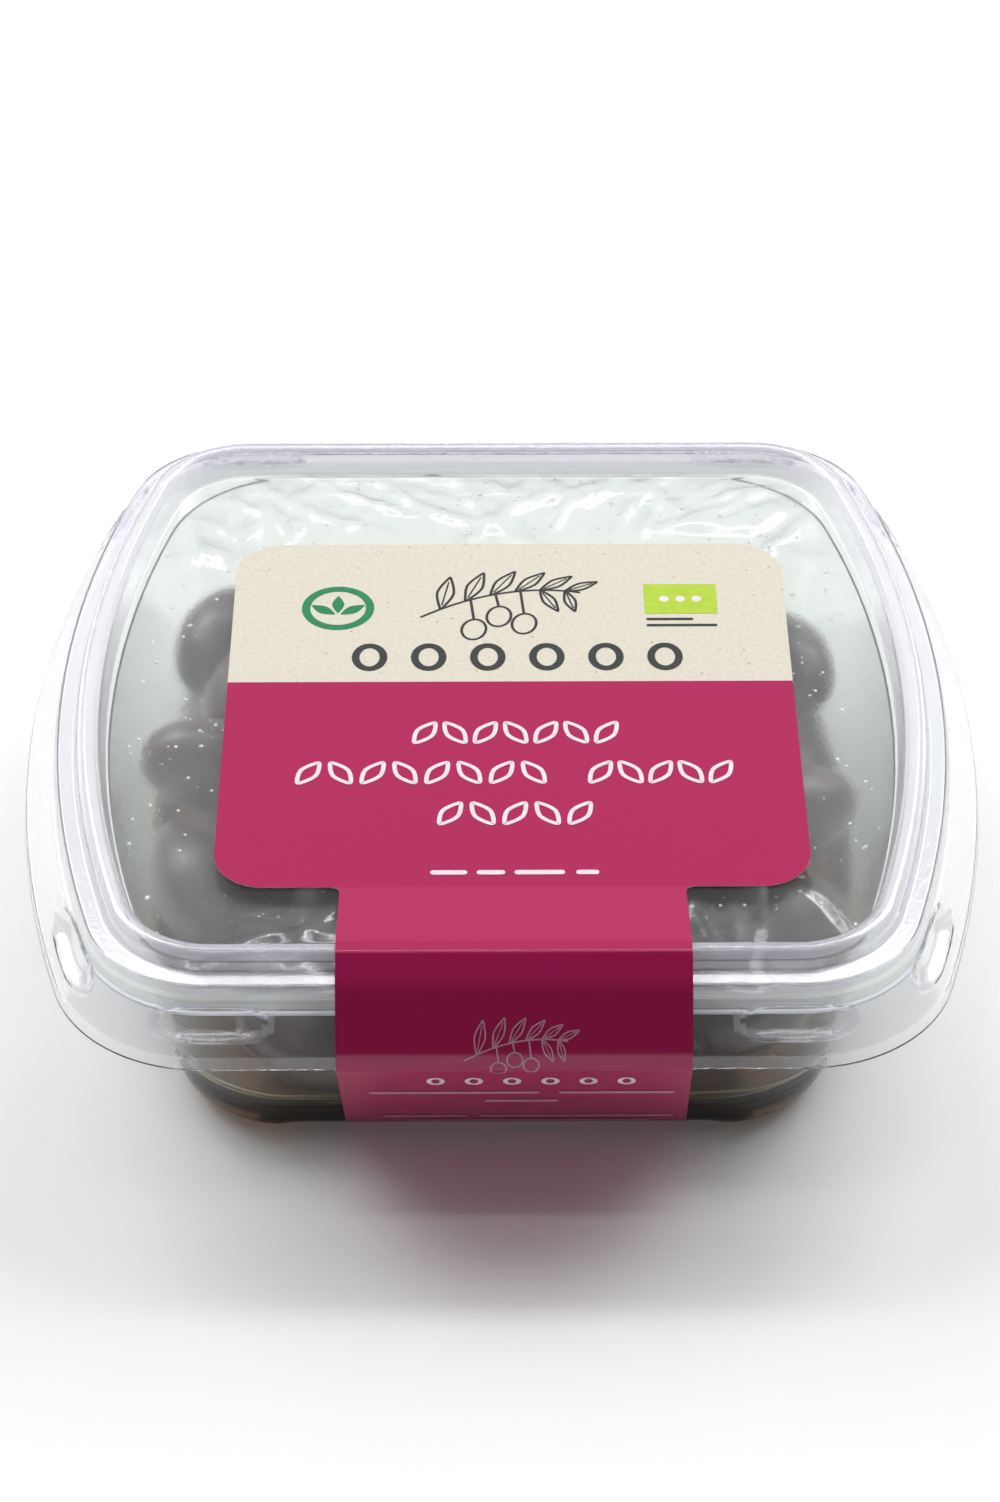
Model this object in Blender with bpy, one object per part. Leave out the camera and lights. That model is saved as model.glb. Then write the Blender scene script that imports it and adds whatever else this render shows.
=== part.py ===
"""A shut clear tub of olives: a thin tub with a sealing flange, a film over its mouth,
a press-on lid with a raised bead, a T-shaped paper label folded over the front, and the
heap of olives inside. Metres, +Z up, the front of the tub faces -Y, and the origin is
under the middle of the whole pack.
"""
import math
import random

import bmesh
import bpy
from mathutils import Matrix, Vector

MM = 0.001

# Lid: plan of the raised bead's outer edge, and the heights of its steps below the rim.
RIM_TOP = 47.0 * MM
BEAD_HALF_WIDTH = 72.4 * MM
BEAD_HALF_DEPTH = 72.0 * MM
BEAD_SIDE_RADIUS = 205.0 * MM
BEAD_CORNER_RADIUS = 18.0 * MM
BEAD_WIDTH = 3.8 * MM
PANEL_DEPTH = 5.6 * MM
LEDGE_DEPTH = 3.3 * MM
LEDGE_OUT = 3.9 * MM
SLOPE_TOP = (4.5 * MM, 6.4 * MM)
SLOPE_END = (9.2 * MM, 13.2 * MM)
LIP_OUT = 9.8 * MM
LIP_DEPTH = 15.8 * MM
LID_WALL = 0.7 * MM
PANEL_EDGE_RUN = 1.0 * MM
BEAD_ROUNDING = 0.8 * MM
BEAD_FLARE = 0.6 * MM
LEDGE_ROUNDING = 0.4 * MM
LEDGE_FALL = 0.1 * MM
CORNER_TIGHTENING = 0.8

# Snap pockets: pressed into the lid's slope beside each corner.
POCKET_LENGTH = 19.0 * MM
POCKET_DEPTH = 1.4 * MM
POCKET_FRONT_X = 46.3 * MM
POCKET_SIDE_Y = 61.0 * MM
POCKET_SIDE_INSET = 1.5 * MM
POCKET_END_POWER = 4
POCKET_PROFILE = ((0.0, 0.0), (0.2, 0.0), (0.4, 0.3), (0.5, 1.0), (0.68, 1.0), (0.82, 0.0), (1.0, 0.0))

# Tub: plan at the base and at the mouth, foot ring, flange.
BASE_HALF_WIDTH = 60.6 * MM
BASE_HALF_DEPTH = 64.4 * MM
BASE_SIDE_RADIUS = 192.0 * MM
BASE_CORNER_RADIUS = 19.0 * MM
MOUTH_HALF_WIDTH = 67.8 * MM
MOUTH_HALF_DEPTH = 71.6 * MM
MOUTH_SIDE_RADIUS = 200.0 * MM
MOUTH_CORNER_RADIUS = 24.0 * MM
BASE_EDGE_RADIUS = 4.5 * MM
FLANGE_TOP = RIM_TOP - 8.4 * MM
FLANGE_OUT = 4.6 * MM
TUB_WALL = 0.7 * MM
FOOT_WIDTH = 6.0 * MM
FOOT_RAMP = 1.5 * MM
FOOT_LIFT = 1.2 * MM
FOOT_GAP_HALF_WIDTH = 36.0 * MM
EDGE_SHARE = 0.35

# Sealing film over the mouth.
FILM_GAP = 0.3 * MM
FILM_THICK = 0.4 * MM
FILM_OUT = 3.9 * MM

# Label: width of the panel on the lid, width of the strip that folds over the front.
LABEL_THICK = 0.4 * MM
LABEL_GAP = 0.3 * MM
LABEL_HALF_WIDTH = 49.1 * MM
LABEL_BACK_Y = 45.7 * MM
LABEL_FRONT_Y = -49.6 * MM
LABEL_CORNER = 8.5 * MM
LABEL_SHIFT_X = 1.6 * MM
STRIP_HALF_WIDTH = 28.2 * MM
STRIP_SKEW_X = 1.0 * MM
STRIP_END_Y = -34.0 * MM
CORNER_ROWS = 4
FOLD_EASE = 0.4 * MM
LEDGE_EASE = 0.3 * MM
LIP_EASE = 0.2 * MM
LIP_POINT = 7

# Olives and the core that they lie on.
OLIVE_COUNT = 48
OLIVE_LENGTH = 26.0 * MM
OLIVE_DIAMETER = 16.5 * MM
OLIVE_SIDES = 10
OLIVE_RINGS = 7
OLIVE_SEED = 70
DROP_TRIES = 140
LENGTH_SPREAD = (0.88, 1.08)
DIAMETER_SPREAD = (0.92, 1.06)
TILT_LIMIT = 0.35
AXIS_BALLS = ((-1, 0.92), (0, 1.0), (1, 0.92))
OLIVE_NARROWING = 0.22
CONTACT_SHARE = 0.93
FACET_SWELL = 1.04
CORE_TOP = 9.0 * MM
CONTENT_GAP = 0.5 * MM

# Segments of one quarter of every outline: half side, corner, half front.
SIDE_STEPS = 5
CORNER_STEPS = 9
FRONT_STEPS = 6

# The label makes the front reach further than the back, so the origin moves by half of it.
LABEL_REACH = LABEL_GAP + LABEL_THICK
SHIFT_Y = 0.5 * LABEL_REACH


def clear_scene():
    """Remove whatever objects the file holds."""
    for thing in list(bpy.data.objects):
        bpy.data.objects.remove(thing, do_unlink=True)


def plastic(name, colour, roughness, transmission=0.0, ior=1.5):
    """A Principled material with one colour."""
    material = bpy.data.materials.new(name)
    material.use_nodes = True
    shader = material.node_tree.nodes["Principled BSDF"]
    shader.inputs["Base Color"].default_value = (*colour, 1.0)
    shader.inputs["Roughness"].default_value = roughness
    shader.inputs["Metallic"].default_value = 0.0
    shader.inputs["Transmission Weight"].default_value = transmission
    shader.inputs["IOR"].default_value = ior
    return material


def finish_object(bm, name, material):
    """Turn a bmesh into a named object with its normals outwards."""
    bmesh.ops.recalc_face_normals(bm, faces=bm.faces)
    mesh = bpy.data.meshes.new(name)
    bm.to_mesh(mesh)
    bm.free()
    mesh.shade_smooth()
    mesh.set_sharp_from_angle(angle=math.radians(35.0))
    mesh.materials.append(material)
    thing = bpy.data.objects.new(name, mesh)
    thing.location.y = SHIFT_Y
    bpy.context.scene.collection.objects.link(thing)
    return thing


def quarter(half_width, half_depth, side_radius, corner_radius):
    """Points of one quarter, from the middle of the right side to the middle of the back."""
    corner_y = half_depth - corner_radius
    reach = side_radius - corner_radius
    corner_x = half_width - side_radius + math.sqrt(reach * reach - corner_y * corner_y)
    start = math.asin(corner_y / reach)
    side_x = half_width - side_radius
    points = []
    for step in range(SIDE_STEPS):
        angle = start * step / SIDE_STEPS
        points.append((side_x + side_radius * math.cos(angle), side_radius * math.sin(angle)))
    for step in range(CORNER_STEPS):
        angle = start + (math.pi / 2 - start) * step / CORNER_STEPS
        turn = Vector((math.cos(angle), math.sin(angle))) * corner_radius
        points.append((corner_x + turn.x, corner_y + turn.y))
    for step in range(FRONT_STEPS + 1):
        points.append((corner_x * (1.0 - step / FRONT_STEPS), half_depth))
    return points


def outline(half_width, half_depth, side_radius, corner_radius):
    """The closed plan: bowed sides, round corners, straight front and back."""
    first = quarter(half_width, half_depth, side_radius, corner_radius)
    second = [(-x, y) for x, y in reversed(first)]
    half = first[:-1] + second[:-1]
    return half + [(-x, -y) for x, y in half]


def bead_outline(offset):
    """The bead's outer edge, moved outwards by an offset."""
    corner = BEAD_CORNER_RADIUS + (CORNER_TIGHTENING if offset > 0.0 else 1.0) * offset
    half_width, half_depth = BEAD_HALF_WIDTH + offset, BEAD_HALF_DEPTH + offset
    return outline(half_width, half_depth, BEAD_SIDE_RADIUS + offset, corner)


def skin_offset(section, distance):
    """Move a section line to its right-hand side by a distance, with mitred corners."""
    moved = []
    for index, point in enumerate(section):
        before = Vector(point) - Vector(section[max(index - 1, 0)])
        after = Vector(section[min(index + 1, len(section) - 1)]) - Vector(point)
        normals = [Vector((run.y, -run.x)).normalized() for run in (before, after) if run.length > 0.0]
        middle = sum(normals, Vector((0.0, 0.0))).normalized()
        stretch = distance / max(middle.dot(normals[0]), 0.5)
        moved.append((point[0] + middle.x * stretch, point[1] + middle.y * stretch))
    return moved


def loft(bm, rings):
    """Join rings of equal count by quads, and fill the first and the last."""
    loops = [[bm.verts.new(point) for point in ring] for ring in rings]
    count = len(rings[0])
    for lower, upper in zip(loops, loops[1:]):
        for index in range(count):
            after = (index + 1) % count
            bm.faces.new((lower[index], lower[after], upper[after], upper[index]))
    bm.faces.new(list(reversed(loops[0])))
    bm.faces.new(loops[-1])


def pocket_places():
    """The middle of each snap pocket, in plan on the slope."""
    middle_out = 0.5 * (SLOPE_TOP[0] + SLOPE_END[0])
    places = []
    for side_x in (-1, 1):
        for side_y in (-1, 1):
            places.append((side_x * POCKET_FRONT_X, side_y * (BEAD_HALF_DEPTH + middle_out)))
            places.append((side_x * (BEAD_HALF_WIDTH - POCKET_SIDE_INSET), side_y * POCKET_SIDE_Y))
    return places


def pocket_share(point, places):
    """How far a place on the slope lies inside a pocket's length, from 0 to 1."""
    nearest = min(math.dist(point, place) for place in places)
    share = 1.0 - (2.0 * nearest / POCKET_LENGTH) ** POCKET_END_POWER
    return max(share, 0.0)


def lid_section():
    """Offset from the bead's outer edge and height, for the lid's upper skin."""
    top = RIM_TOP
    section = [
        (-BEAD_WIDTH - PANEL_EDGE_RUN, top - PANEL_DEPTH),
        (-BEAD_WIDTH, top - BEAD_ROUNDING),
        (-BEAD_WIDTH + BEAD_ROUNDING, top),
        (-BEAD_ROUNDING, top),
        (0.0, top - BEAD_ROUNDING),
        (BEAD_FLARE, top - LEDGE_DEPTH),
        (LEDGE_OUT - LEDGE_ROUNDING, top - LEDGE_DEPTH - LEDGE_FALL),
        (LEDGE_OUT, top - LEDGE_DEPTH - LEDGE_FALL - LEDGE_ROUNDING),
    ]
    for share, pressed in POCKET_PROFILE:
        out = SLOPE_TOP[0] + (SLOPE_END[0] - SLOPE_TOP[0]) * share
        section.append((out, top - SLOPE_TOP[1] - (SLOPE_END[1] - SLOPE_TOP[1]) * share))
    section.append((LIP_OUT, top - LIP_DEPTH))
    return section


def lid_rings(section, slope_start):
    """Rings of one skin of the lid, with the pockets pressed into its slope."""
    places = pocket_places()
    rings = []
    for index, (out, height) in enumerate(section):
        step = index - slope_start
        pressed = POCKET_PROFILE[step][1] if 0 <= step < len(POCKET_PROFILE) else 0.0
        ring = []
        inner = bead_outline(out - POCKET_DEPTH)
        for point, deeper in zip(bead_outline(out), inner):
            share = pressed * pocket_share(point, places) if pressed else 0.0
            place = Vector(point).lerp(Vector(deeper), share)
            ring.append((place.x, place.y, height))
        rings.append(ring)
    return rings


def make_lid():
    """The clear press-on lid as one shell."""
    upper = lid_section()
    lower = skin_offset(upper, LID_WALL)
    lower[0] = (lower[0][0], upper[0][1] - LID_WALL)
    lower[-1] = (lower[-1][0], upper[-1][1])
    slope_start = len(upper) - 1 - len(POCKET_PROFILE)
    bm = bmesh.new()
    rings = lid_rings(upper, slope_start) + list(reversed(lid_rings(lower, slope_start)))
    loft(bm, rings)
    return finish_object(bm, "lid", plastic("clear_pet_lid", (0.93, 0.95, 0.95), 0.06, 1.0, 1.57))


def tub_plan(height, inset):
    """The tub's wall at a height, moved inwards by an inset."""
    share = min(max(height / FLANGE_TOP, 0.0), 1.0)
    sizes = [
        low + (high - low) * share
        for low, high in (
            (BASE_HALF_WIDTH, MOUTH_HALF_WIDTH),
            (BASE_HALF_DEPTH, MOUTH_HALF_DEPTH),
            (BASE_SIDE_RADIUS, MOUTH_SIDE_RADIUS),
            (BASE_CORNER_RADIUS, MOUTH_CORNER_RADIUS),
        )
    ]
    return outline(*(size - inset for size in sizes))


def edge_inset(height, radius):
    """How far a rounded bottom edge stands back at a height above its lowest plane."""
    if height >= radius:
        return 0.0
    return radius - math.sqrt(radius * radius - (radius - height) ** 2)


def bottom_edge():
    """Height, inset and lift in the label's gap, from the wall's foot to the foot ring."""
    radius = BASE_EDGE_RADIUS
    low = EDGE_SHARE * radius
    return [
        (radius, 0.0, 0.0),
        (low, edge_inset(low, radius), EDGE_SHARE * FOOT_LIFT),
        (0.0, radius, FOOT_LIFT),
    ]


def raised(ring, height, lift):
    """Give a plan ring its height, lifted over the gap where the label passes under."""
    points = []
    for x, y in ring:
        in_gap = y < 0.0 and abs(x) < FOOT_GAP_HALF_WIDTH
        points.append((x, y, height + (lift if in_gap else 0.0)))
    return points


def make_tub():
    """The clear tub as one shell, open at the top."""
    radius = BASE_EDGE_RADIUS
    rings = [
        raised(tub_plan(0.0, radius + FOOT_WIDTH + FOOT_RAMP), FOOT_LIFT, 0.0),
        raised(tub_plan(0.0, radius + FOOT_WIDTH), 0.0, FOOT_LIFT),
    ]
    for height, inset, lift in reversed(bottom_edge()):
        rings.append(raised(tub_plan(height, inset), height, lift))
    for height in (0.5 * FLANGE_TOP, FLANGE_TOP - TUB_WALL):
        rings.append(raised(tub_plan(height, 0.0), height, 0.0))
    rings.append([(x, y, FLANGE_TOP - TUB_WALL) for x, y in bead_outline(FLANGE_OUT)])
    rings.append([(x, y, FLANGE_TOP) for x, y in bead_outline(FLANGE_OUT)])
    rings.append(raised(tub_plan(FLANGE_TOP, TUB_WALL), FLANGE_TOP, 0.0))
    floor = FOOT_LIFT + TUB_WALL
    for height in (0.5 * FLANGE_TOP, floor + radius, floor + EDGE_SHARE * radius, floor):
        inset = TUB_WALL + edge_inset(height - floor, radius)
        rings.append(raised(tub_plan(height, inset), height, 0.0))
    bm = bmesh.new()
    loft(bm, rings)
    return finish_object(bm, "tub", plastic("clear_pet_tub", (0.94, 0.95, 0.94), 0.05, 1.0, 1.57))


def make_film():
    """The flat sealing film that lies on the flange."""
    low = FLANGE_TOP + FILM_GAP
    ring = bead_outline(FILM_OUT)
    bm = bmesh.new()
    loft(bm, [[(x, y, height) for x, y in ring] for height in (low, low + FILM_THICK)])
    return finish_object(bm, "seal_film", plastic("clear_peel_film", (0.95, 0.96, 0.95), 0.12, 1.0, 1.5))


def tub_front_line():
    """The tub's surface that the label follows: round the base's front edge and under it."""
    line = []
    for height, inset, lift in bottom_edge():
        share = height / FLANGE_TOP
        depth = BASE_HALF_DEPTH + (MOUTH_HALF_DEPTH - BASE_HALF_DEPTH) * share - inset
        line.append((-depth, height + lift))
    return line + [(STRIP_END_Y, FOOT_LIFT)]


def label_path():
    """The label's middle line from the back edge to its end under the base, as (y, z)."""
    lift = LABEL_GAP + 0.5 * LABEL_THICK
    panel = RIM_TOP - PANEL_DEPTH + lift
    front = -BEAD_HALF_DEPTH
    return [
        (LABEL_BACK_Y, panel),
        (LABEL_FRONT_Y, panel),
        (front + BEAD_WIDTH - FOLD_EASE, RIM_TOP + lift),
        (front + FOLD_EASE, RIM_TOP + lift),
        (front - LEDGE_OUT - LEDGE_EASE, RIM_TOP - LEDGE_DEPTH),
        (front - SLOPE_END[0] - lift - FOLD_EASE, RIM_TOP - SLOPE_END[1] + FOLD_EASE),
        (front - LIP_OUT - lift, RIM_TOP - LIP_DEPTH),
        (front - LIP_OUT + LIP_EASE, RIM_TOP - LIP_DEPTH - lift),
        *skin_offset(tub_front_line(), lift),
    ]


def bend(path, along, skin):
    """The place (y, z) at a distance along the path, on its upper (+1) or lower (-1) skin."""
    lengths = [math.dist(a, b) for a, b in zip(path, path[1:])]
    index = 0
    while index < len(lengths) - 1 and along > lengths[index] + 1e-9:
        along -= lengths[index]
        index += 1
    run = (Vector(path[index + 1]) - Vector(path[index])).normalized()
    normals = [Vector((run.y, -run.x))]
    near_end = abs(along - lengths[index]) < 1e-9 and index < len(lengths) - 1
    if near_end:
        ahead = (Vector(path[index + 2]) - Vector(path[index + 1])).normalized()
        normals.append(Vector((ahead.y, -ahead.x)))
    middle = sum(normals, Vector((0.0, 0.0))).normalized()
    stretch = 0.5 * LABEL_THICK / middle.dot(normals[0])
    place = Vector(path[index]) + run * along - middle * stretch * skin
    return place.x, place.y


def label_rows(path):
    """Distance along the path and half width for each row, from the back edge to the end."""
    rows = []
    front = LABEL_BACK_Y - LABEL_FRONT_Y
    steps = range(CORNER_ROWS + 1)
    turns = [0.5 * math.pi * step / CORNER_ROWS for step in steps]
    for turn in turns:
        rounding = LABEL_CORNER * (1.0 - math.sin(turn))
        rows.append((LABEL_CORNER * (1.0 - math.cos(turn)), LABEL_HALF_WIDTH - rounding))
    for turn in turns:
        rounding = LABEL_CORNER * (1.0 - math.cos(turn))
        rows.append((front - LABEL_CORNER * (1.0 - math.sin(turn)), LABEL_HALF_WIDTH - rounding))
    along = 0.0
    for index, (start, end) in enumerate(zip(path, path[1:])):
        along += math.dist(start, end)
        if index > 0:
            rows.append((along, STRIP_HALF_WIDTH))
    return rows


def make_label():
    """The T-shaped paper label, folded over the lid's front and under the base."""
    path = label_path()
    rows = label_rows(path)
    lip_along = sum(math.dist(a, b) for a, b in zip(path[:LIP_POINT], path[1:LIP_POINT + 1]))
    total = rows[-1][0]
    bm = bmesh.new()
    skins = []
    for skin in (1, -1):
        grid = []
        for along, half in rows:
            skew = STRIP_SKEW_X * max(along - lip_along, 0.0) / (total - lip_along)
            y, z = bend(path, along, skin)
            columns = (-half, -STRIP_HALF_WIDTH, STRIP_HALF_WIDTH, half)
            if half <= STRIP_HALF_WIDTH:
                columns = (-half, half)
            grid.append([bm.verts.new((LABEL_SHIFT_X + x + skew, y, z)) for x in columns])
        skins.append(grid)
    wide = [index for index, row in enumerate(rows) if row[1] > STRIP_HALF_WIDTH]
    last_wide = wide[-1]
    for grid, flip in ((skins[0], False), (skins[1], True)):
        for index in range(len(rows) - 1):
            near, far = grid[index], grid[index + 1]
            if index == last_wide:
                near = near[1:3]
            for column in range(len(near) - 1):
                face = [near[column], near[column + 1], far[column + 1], far[column]]
                bm.faces.new(face[::-1] if flip else face)
    rims = label_rim(skins[0], last_wide)
    lower_rims = label_rim(skins[1], last_wide)
    count = len(rims)
    for index in range(count):
        after = (index + 1) % count
        bm.faces.new((rims[index], rims[after], lower_rims[after], lower_rims[index]))
    return finish_object(bm, "label", plastic("coated_label_paper", (0.48, 0.03, 0.12), 0.45))


def label_rim(grid, last_wide):
    """The label's edge all round, as a loop of the grid's vertices."""
    right = [row[-1] for row in grid]
    left = [row[0] for row in grid]
    shoulder_right = [grid[last_wide][2]]
    shoulder_left = [grid[last_wide][1]]
    return (
        [grid[0][0], grid[0][1], grid[0][2], grid[0][3]]
        + right[1:last_wide + 1]
        + shoulder_right
        + right[last_wide + 1:]
        + left[:last_wide:-1]
        + shoulder_left
        + left[last_wide:0:-1]
    )


def inside_tub(x, y, height, margin):
    """Whether a point lies inside the tub's wall at a height, with a margin."""
    share = min(height / FLANGE_TOP, 1.0)
    half_width = BASE_HALF_WIDTH + (MOUTH_HALF_WIDTH - BASE_HALF_WIDTH) * share - margin
    half_depth = BASE_HALF_DEPTH + (MOUTH_HALF_DEPTH - BASE_HALF_DEPTH) * share - margin
    corner = max(BASE_CORNER_RADIUS - margin, 1.0 * MM)
    side_radius = BASE_SIDE_RADIUS - margin
    corner_y = half_depth - corner
    reach = side_radius - corner
    corner_x = half_width - side_radius + math.sqrt(reach * reach - corner_y * corner_y)
    x, y = abs(x), abs(y)
    if y > half_depth or math.hypot(x - (half_width - side_radius), y) > side_radius:
        return False
    return not (x > corner_x and y > corner_y and math.hypot(x - corner_x, y - corner_y) > corner)


def drop_olives():
    """Let olives fall one by one into the tub: each takes the lowest of many tried places.

    An olive is tried as three balls on its axis. The result lists its middle, its turn,
    its tilt, its length and its diameter.
    """
    draw = random.Random(OLIVE_SEED)
    floor = FOOT_LIFT + TUB_WALL + CONTENT_GAP
    balls = []
    olives = []
    for _ in range(OLIVE_COUNT):
        length = OLIVE_LENGTH * draw.uniform(*LENGTH_SPREAD)
        diameter = OLIVE_DIAMETER * draw.uniform(*DIAMETER_SPREAD)
        radius = 0.5 * diameter
        best = None
        for _ in range(DROP_TRIES):
            x = draw.uniform(-MOUTH_HALF_WIDTH, MOUTH_HALF_WIDTH)
            y = draw.uniform(-MOUTH_HALF_DEPTH, MOUTH_HALF_DEPTH)
            turn = draw.uniform(0.0, math.pi)
            tilt = draw.uniform(-TILT_LIMIT, TILT_LIMIT)
            reach = 0.5 * length - radius
            flat = math.cos(tilt)
            axis = Vector((math.cos(turn) * flat, math.sin(turn) * flat, math.sin(tilt)))
            spots = [(axis * reach * part, radius * size) for part, size in AXIS_BALLS]
            height = max(floor + size - offset.z for offset, size in spots)
            for offset, size in spots:
                for ball, other in balls:
                    apart = math.hypot(x + offset.x - ball.x, y + offset.y - ball.y)
                    total = (size + other) * CONTACT_SHARE
                    if apart < total:
                        rise = math.sqrt(total * total - apart * apart)
                        height = max(height, ball.z + rise - offset.z)
            gap = TUB_WALL + CONTENT_GAP
            fits = all(
                inside_tub(x + offset.x, y + offset.y, height + offset.z, size + gap)
                for offset, size in spots
            )
            if fits and (best is None or height < best[0]):
                best = (height, x, y, turn, tilt, spots)
        if best is None:
            continue
        height, x, y, turn, tilt, spots = best
        middle = Vector((x, y, height))
        balls.extend((middle + offset, size) for offset, size in spots)
        olives.append((middle, turn, tilt, length, diameter))
    return olives


def olive_mesh(name, middle, turn, tilt, length, diameter):
    """One olive: an oval that narrows towards one end, with few sides."""
    bm = bmesh.new()
    bmesh.ops.create_uvsphere(bm, u_segments=OLIVE_SIDES, v_segments=OLIVE_RINGS, radius=0.5)
    for vertex in bm.verts:
        across = diameter * FACET_SWELL * (1.0 - OLIVE_NARROWING * max(vertex.co.z, 0.0))
        vertex.co = Vector((vertex.co.x * across, vertex.co.y * across, vertex.co.z * length))
    lean = Matrix.Rotation(turn, 4, "Z") @ Matrix.Rotation(-tilt, 4, "Y")
    lay_down = Matrix.Rotation(math.pi / 2, 4, "Y")
    bmesh.ops.transform(bm, matrix=Matrix.Translation(middle) @ lean @ lay_down, verts=bm.verts)
    mesh = bpy.data.meshes.new(name)
    bm.to_mesh(mesh)
    bm.free()
    return bpy.data.objects.new(name, mesh)


def drop_loose_scraps(mesh):
    """Keep only the largest connected piece of a mesh."""
    bm = bmesh.new()
    bm.from_mesh(mesh)
    unseen = set(bm.verts)
    islands = []
    while unseen:
        island = {unseen.pop()}
        edge_of_search = list(island)
        while edge_of_search:
            vertex = edge_of_search.pop()
            for edge in vertex.link_edges:
                other = edge.other_vert(vertex)
                if other not in island:
                    island.add(other)
                    edge_of_search.append(other)
        unseen -= island
        islands.append(island)
    islands.sort(key=len)
    scraps = [vertex for island in islands[:-1] for vertex in island]
    bmesh.ops.delete(bm, geom=scraps, context="VERTS")
    bm.to_mesh(mesh)
    bm.free()


def make_olives():
    """The heap of olives on its core, joined by one union."""
    floor = FOOT_LIFT + TUB_WALL + CONTENT_GAP
    radius = BASE_EDGE_RADIUS
    gap = TUB_WALL + CONTENT_GAP
    rings = []
    for height in (floor, floor + EDGE_SHARE * radius, floor + radius, CORE_TOP):
        ring = tub_plan(height, gap + edge_inset(height - floor, radius))
        rings.append([(x, y, height) for x, y in ring])
    bm = bmesh.new()
    loft(bm, rings)
    heap = finish_object(bm, "olives", plastic("olive_skin", (0.045, 0.02, 0.025), 0.3))
    heap.location.y = 0.0
    pieces = bpy.data.collections.new("loose_olives")
    for number, olive in enumerate(drop_olives()):
        pieces.objects.link(olive_mesh(f"olive_{number}", *olive))
    bpy.context.scene.collection.children.link(pieces)
    union = heap.modifiers.new("union", "BOOLEAN")
    union.operation = "UNION"
    union.operand_type = "COLLECTION"
    union.collection = pieces
    union.solver = "EXACT"
    bpy.context.view_layer.update()
    evaluated = heap.evaluated_get(bpy.context.evaluated_depsgraph_get())
    joined = bpy.data.meshes.new_from_object(evaluated)
    drop_loose_scraps(joined)
    heap.modifiers.clear()
    heap.data = joined
    heap.location.y = SHIFT_Y
    for piece in list(pieces.objects):
        bpy.data.objects.remove(piece, do_unlink=True)
    bpy.data.collections.remove(pieces)
    return heap


def main():
    """Build every piece."""
    clear_scene()
    make_tub()
    make_olives()
    make_film()
    make_lid()
    make_label()


main()
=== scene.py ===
"""Looks of a shut clear tub of dark olives: PET tub and press-on lid, wrinkled sealing film,
folded paper label, olives and their oil. Metres, +Z up, the front faces -Y.
"""

import logging
import math
import random
from dataclasses import dataclass, field, replace
from enum import Enum
from typing import Iterable, Sequence

import bmesh
import bpy
from mathutils import Matrix, Vector, noise

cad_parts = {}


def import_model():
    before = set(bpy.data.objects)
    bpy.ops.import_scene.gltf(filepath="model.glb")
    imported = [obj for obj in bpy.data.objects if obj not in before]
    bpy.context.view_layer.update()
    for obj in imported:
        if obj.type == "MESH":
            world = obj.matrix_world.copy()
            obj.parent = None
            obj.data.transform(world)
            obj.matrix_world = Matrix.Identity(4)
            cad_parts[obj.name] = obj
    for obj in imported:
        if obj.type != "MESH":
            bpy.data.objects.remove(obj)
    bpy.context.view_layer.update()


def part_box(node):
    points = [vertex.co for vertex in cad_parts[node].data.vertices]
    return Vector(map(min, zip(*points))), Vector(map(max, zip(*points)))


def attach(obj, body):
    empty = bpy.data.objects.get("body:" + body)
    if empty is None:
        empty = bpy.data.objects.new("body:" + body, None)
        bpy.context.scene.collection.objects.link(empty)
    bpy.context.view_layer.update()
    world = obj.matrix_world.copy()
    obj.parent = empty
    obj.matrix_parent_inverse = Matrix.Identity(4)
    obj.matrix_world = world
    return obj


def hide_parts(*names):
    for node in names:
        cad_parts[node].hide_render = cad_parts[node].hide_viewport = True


MM = 0.001
BODY = "root"
LOG = logging.getLogger("olive_tub")

Point2 = tuple[float, float]
Point3 = tuple[float, float, float]


def linear(code: str, alpha: float = 1.0) -> tuple[float, float, float, float]:
    """Turn an sRGB hex colour into linear values.

    Args:
        code: Six hex digits, with or without a leading hash.
        alpha: The fourth value.

    Returns:
        Red, green and blue in linear light, and alpha.
    """
    digits = code.lstrip("#")
    shares = [int(digits[at:at + 2], 16) / 255.0 for at in (0, 2, 4)]
    red, green, blue = (s / 12.92 if s <= 0.04045 else ((s + 0.055) / 1.055) ** 2.4 for s in shares)
    return (red, green, blue, alpha)


def smoothstep(low: float, high: float, value: float) -> float:
    """Rise smoothly from 0 at low to 1 at high."""
    share = min(max((value - low) / (high - low), 0.0), 1.0)
    return share * share * (3.0 - 2.0 * share)


def add_node(
    tree: bpy.types.NodeTree,
    kind: str,
    settings: dict[str, object] | None = None,
    values: dict[str, object] | None = None,
    links: dict[str | int, bpy.types.NodeSocket] | None = None,
    stops: Sequence[tuple[float, str]] = (),
) -> bpy.types.Node:
    """Add a node with its settings, its unlinked values and its links.

    Args:
        tree: The node tree that gets the node.
        kind: The node's type name.
        settings: Attributes of the node itself.
        values: Default values by input name.
        links: Sockets that feed the inputs, by input name or number.
        stops: Places and hex colours of a colour ramp's stops, from low to high.

    Returns:
        The new node.
    """
    node = tree.nodes.new(kind)
    for name, value in (settings or {}).items():
        setattr(node, name, value)
    for name, value in (values or {}).items():
        node.inputs[name].default_value = value
    for name, socket in (links or {}).items():
        tree.links.new(socket, node.inputs[name])
    if stops:
        elements = node.color_ramp.elements
        while len(elements) < len(stops):
            elements.new(0.5)
        for element, (place, code) in zip(elements, stops):
            element.position = place
            element.color = linear(code)
    return node


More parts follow.
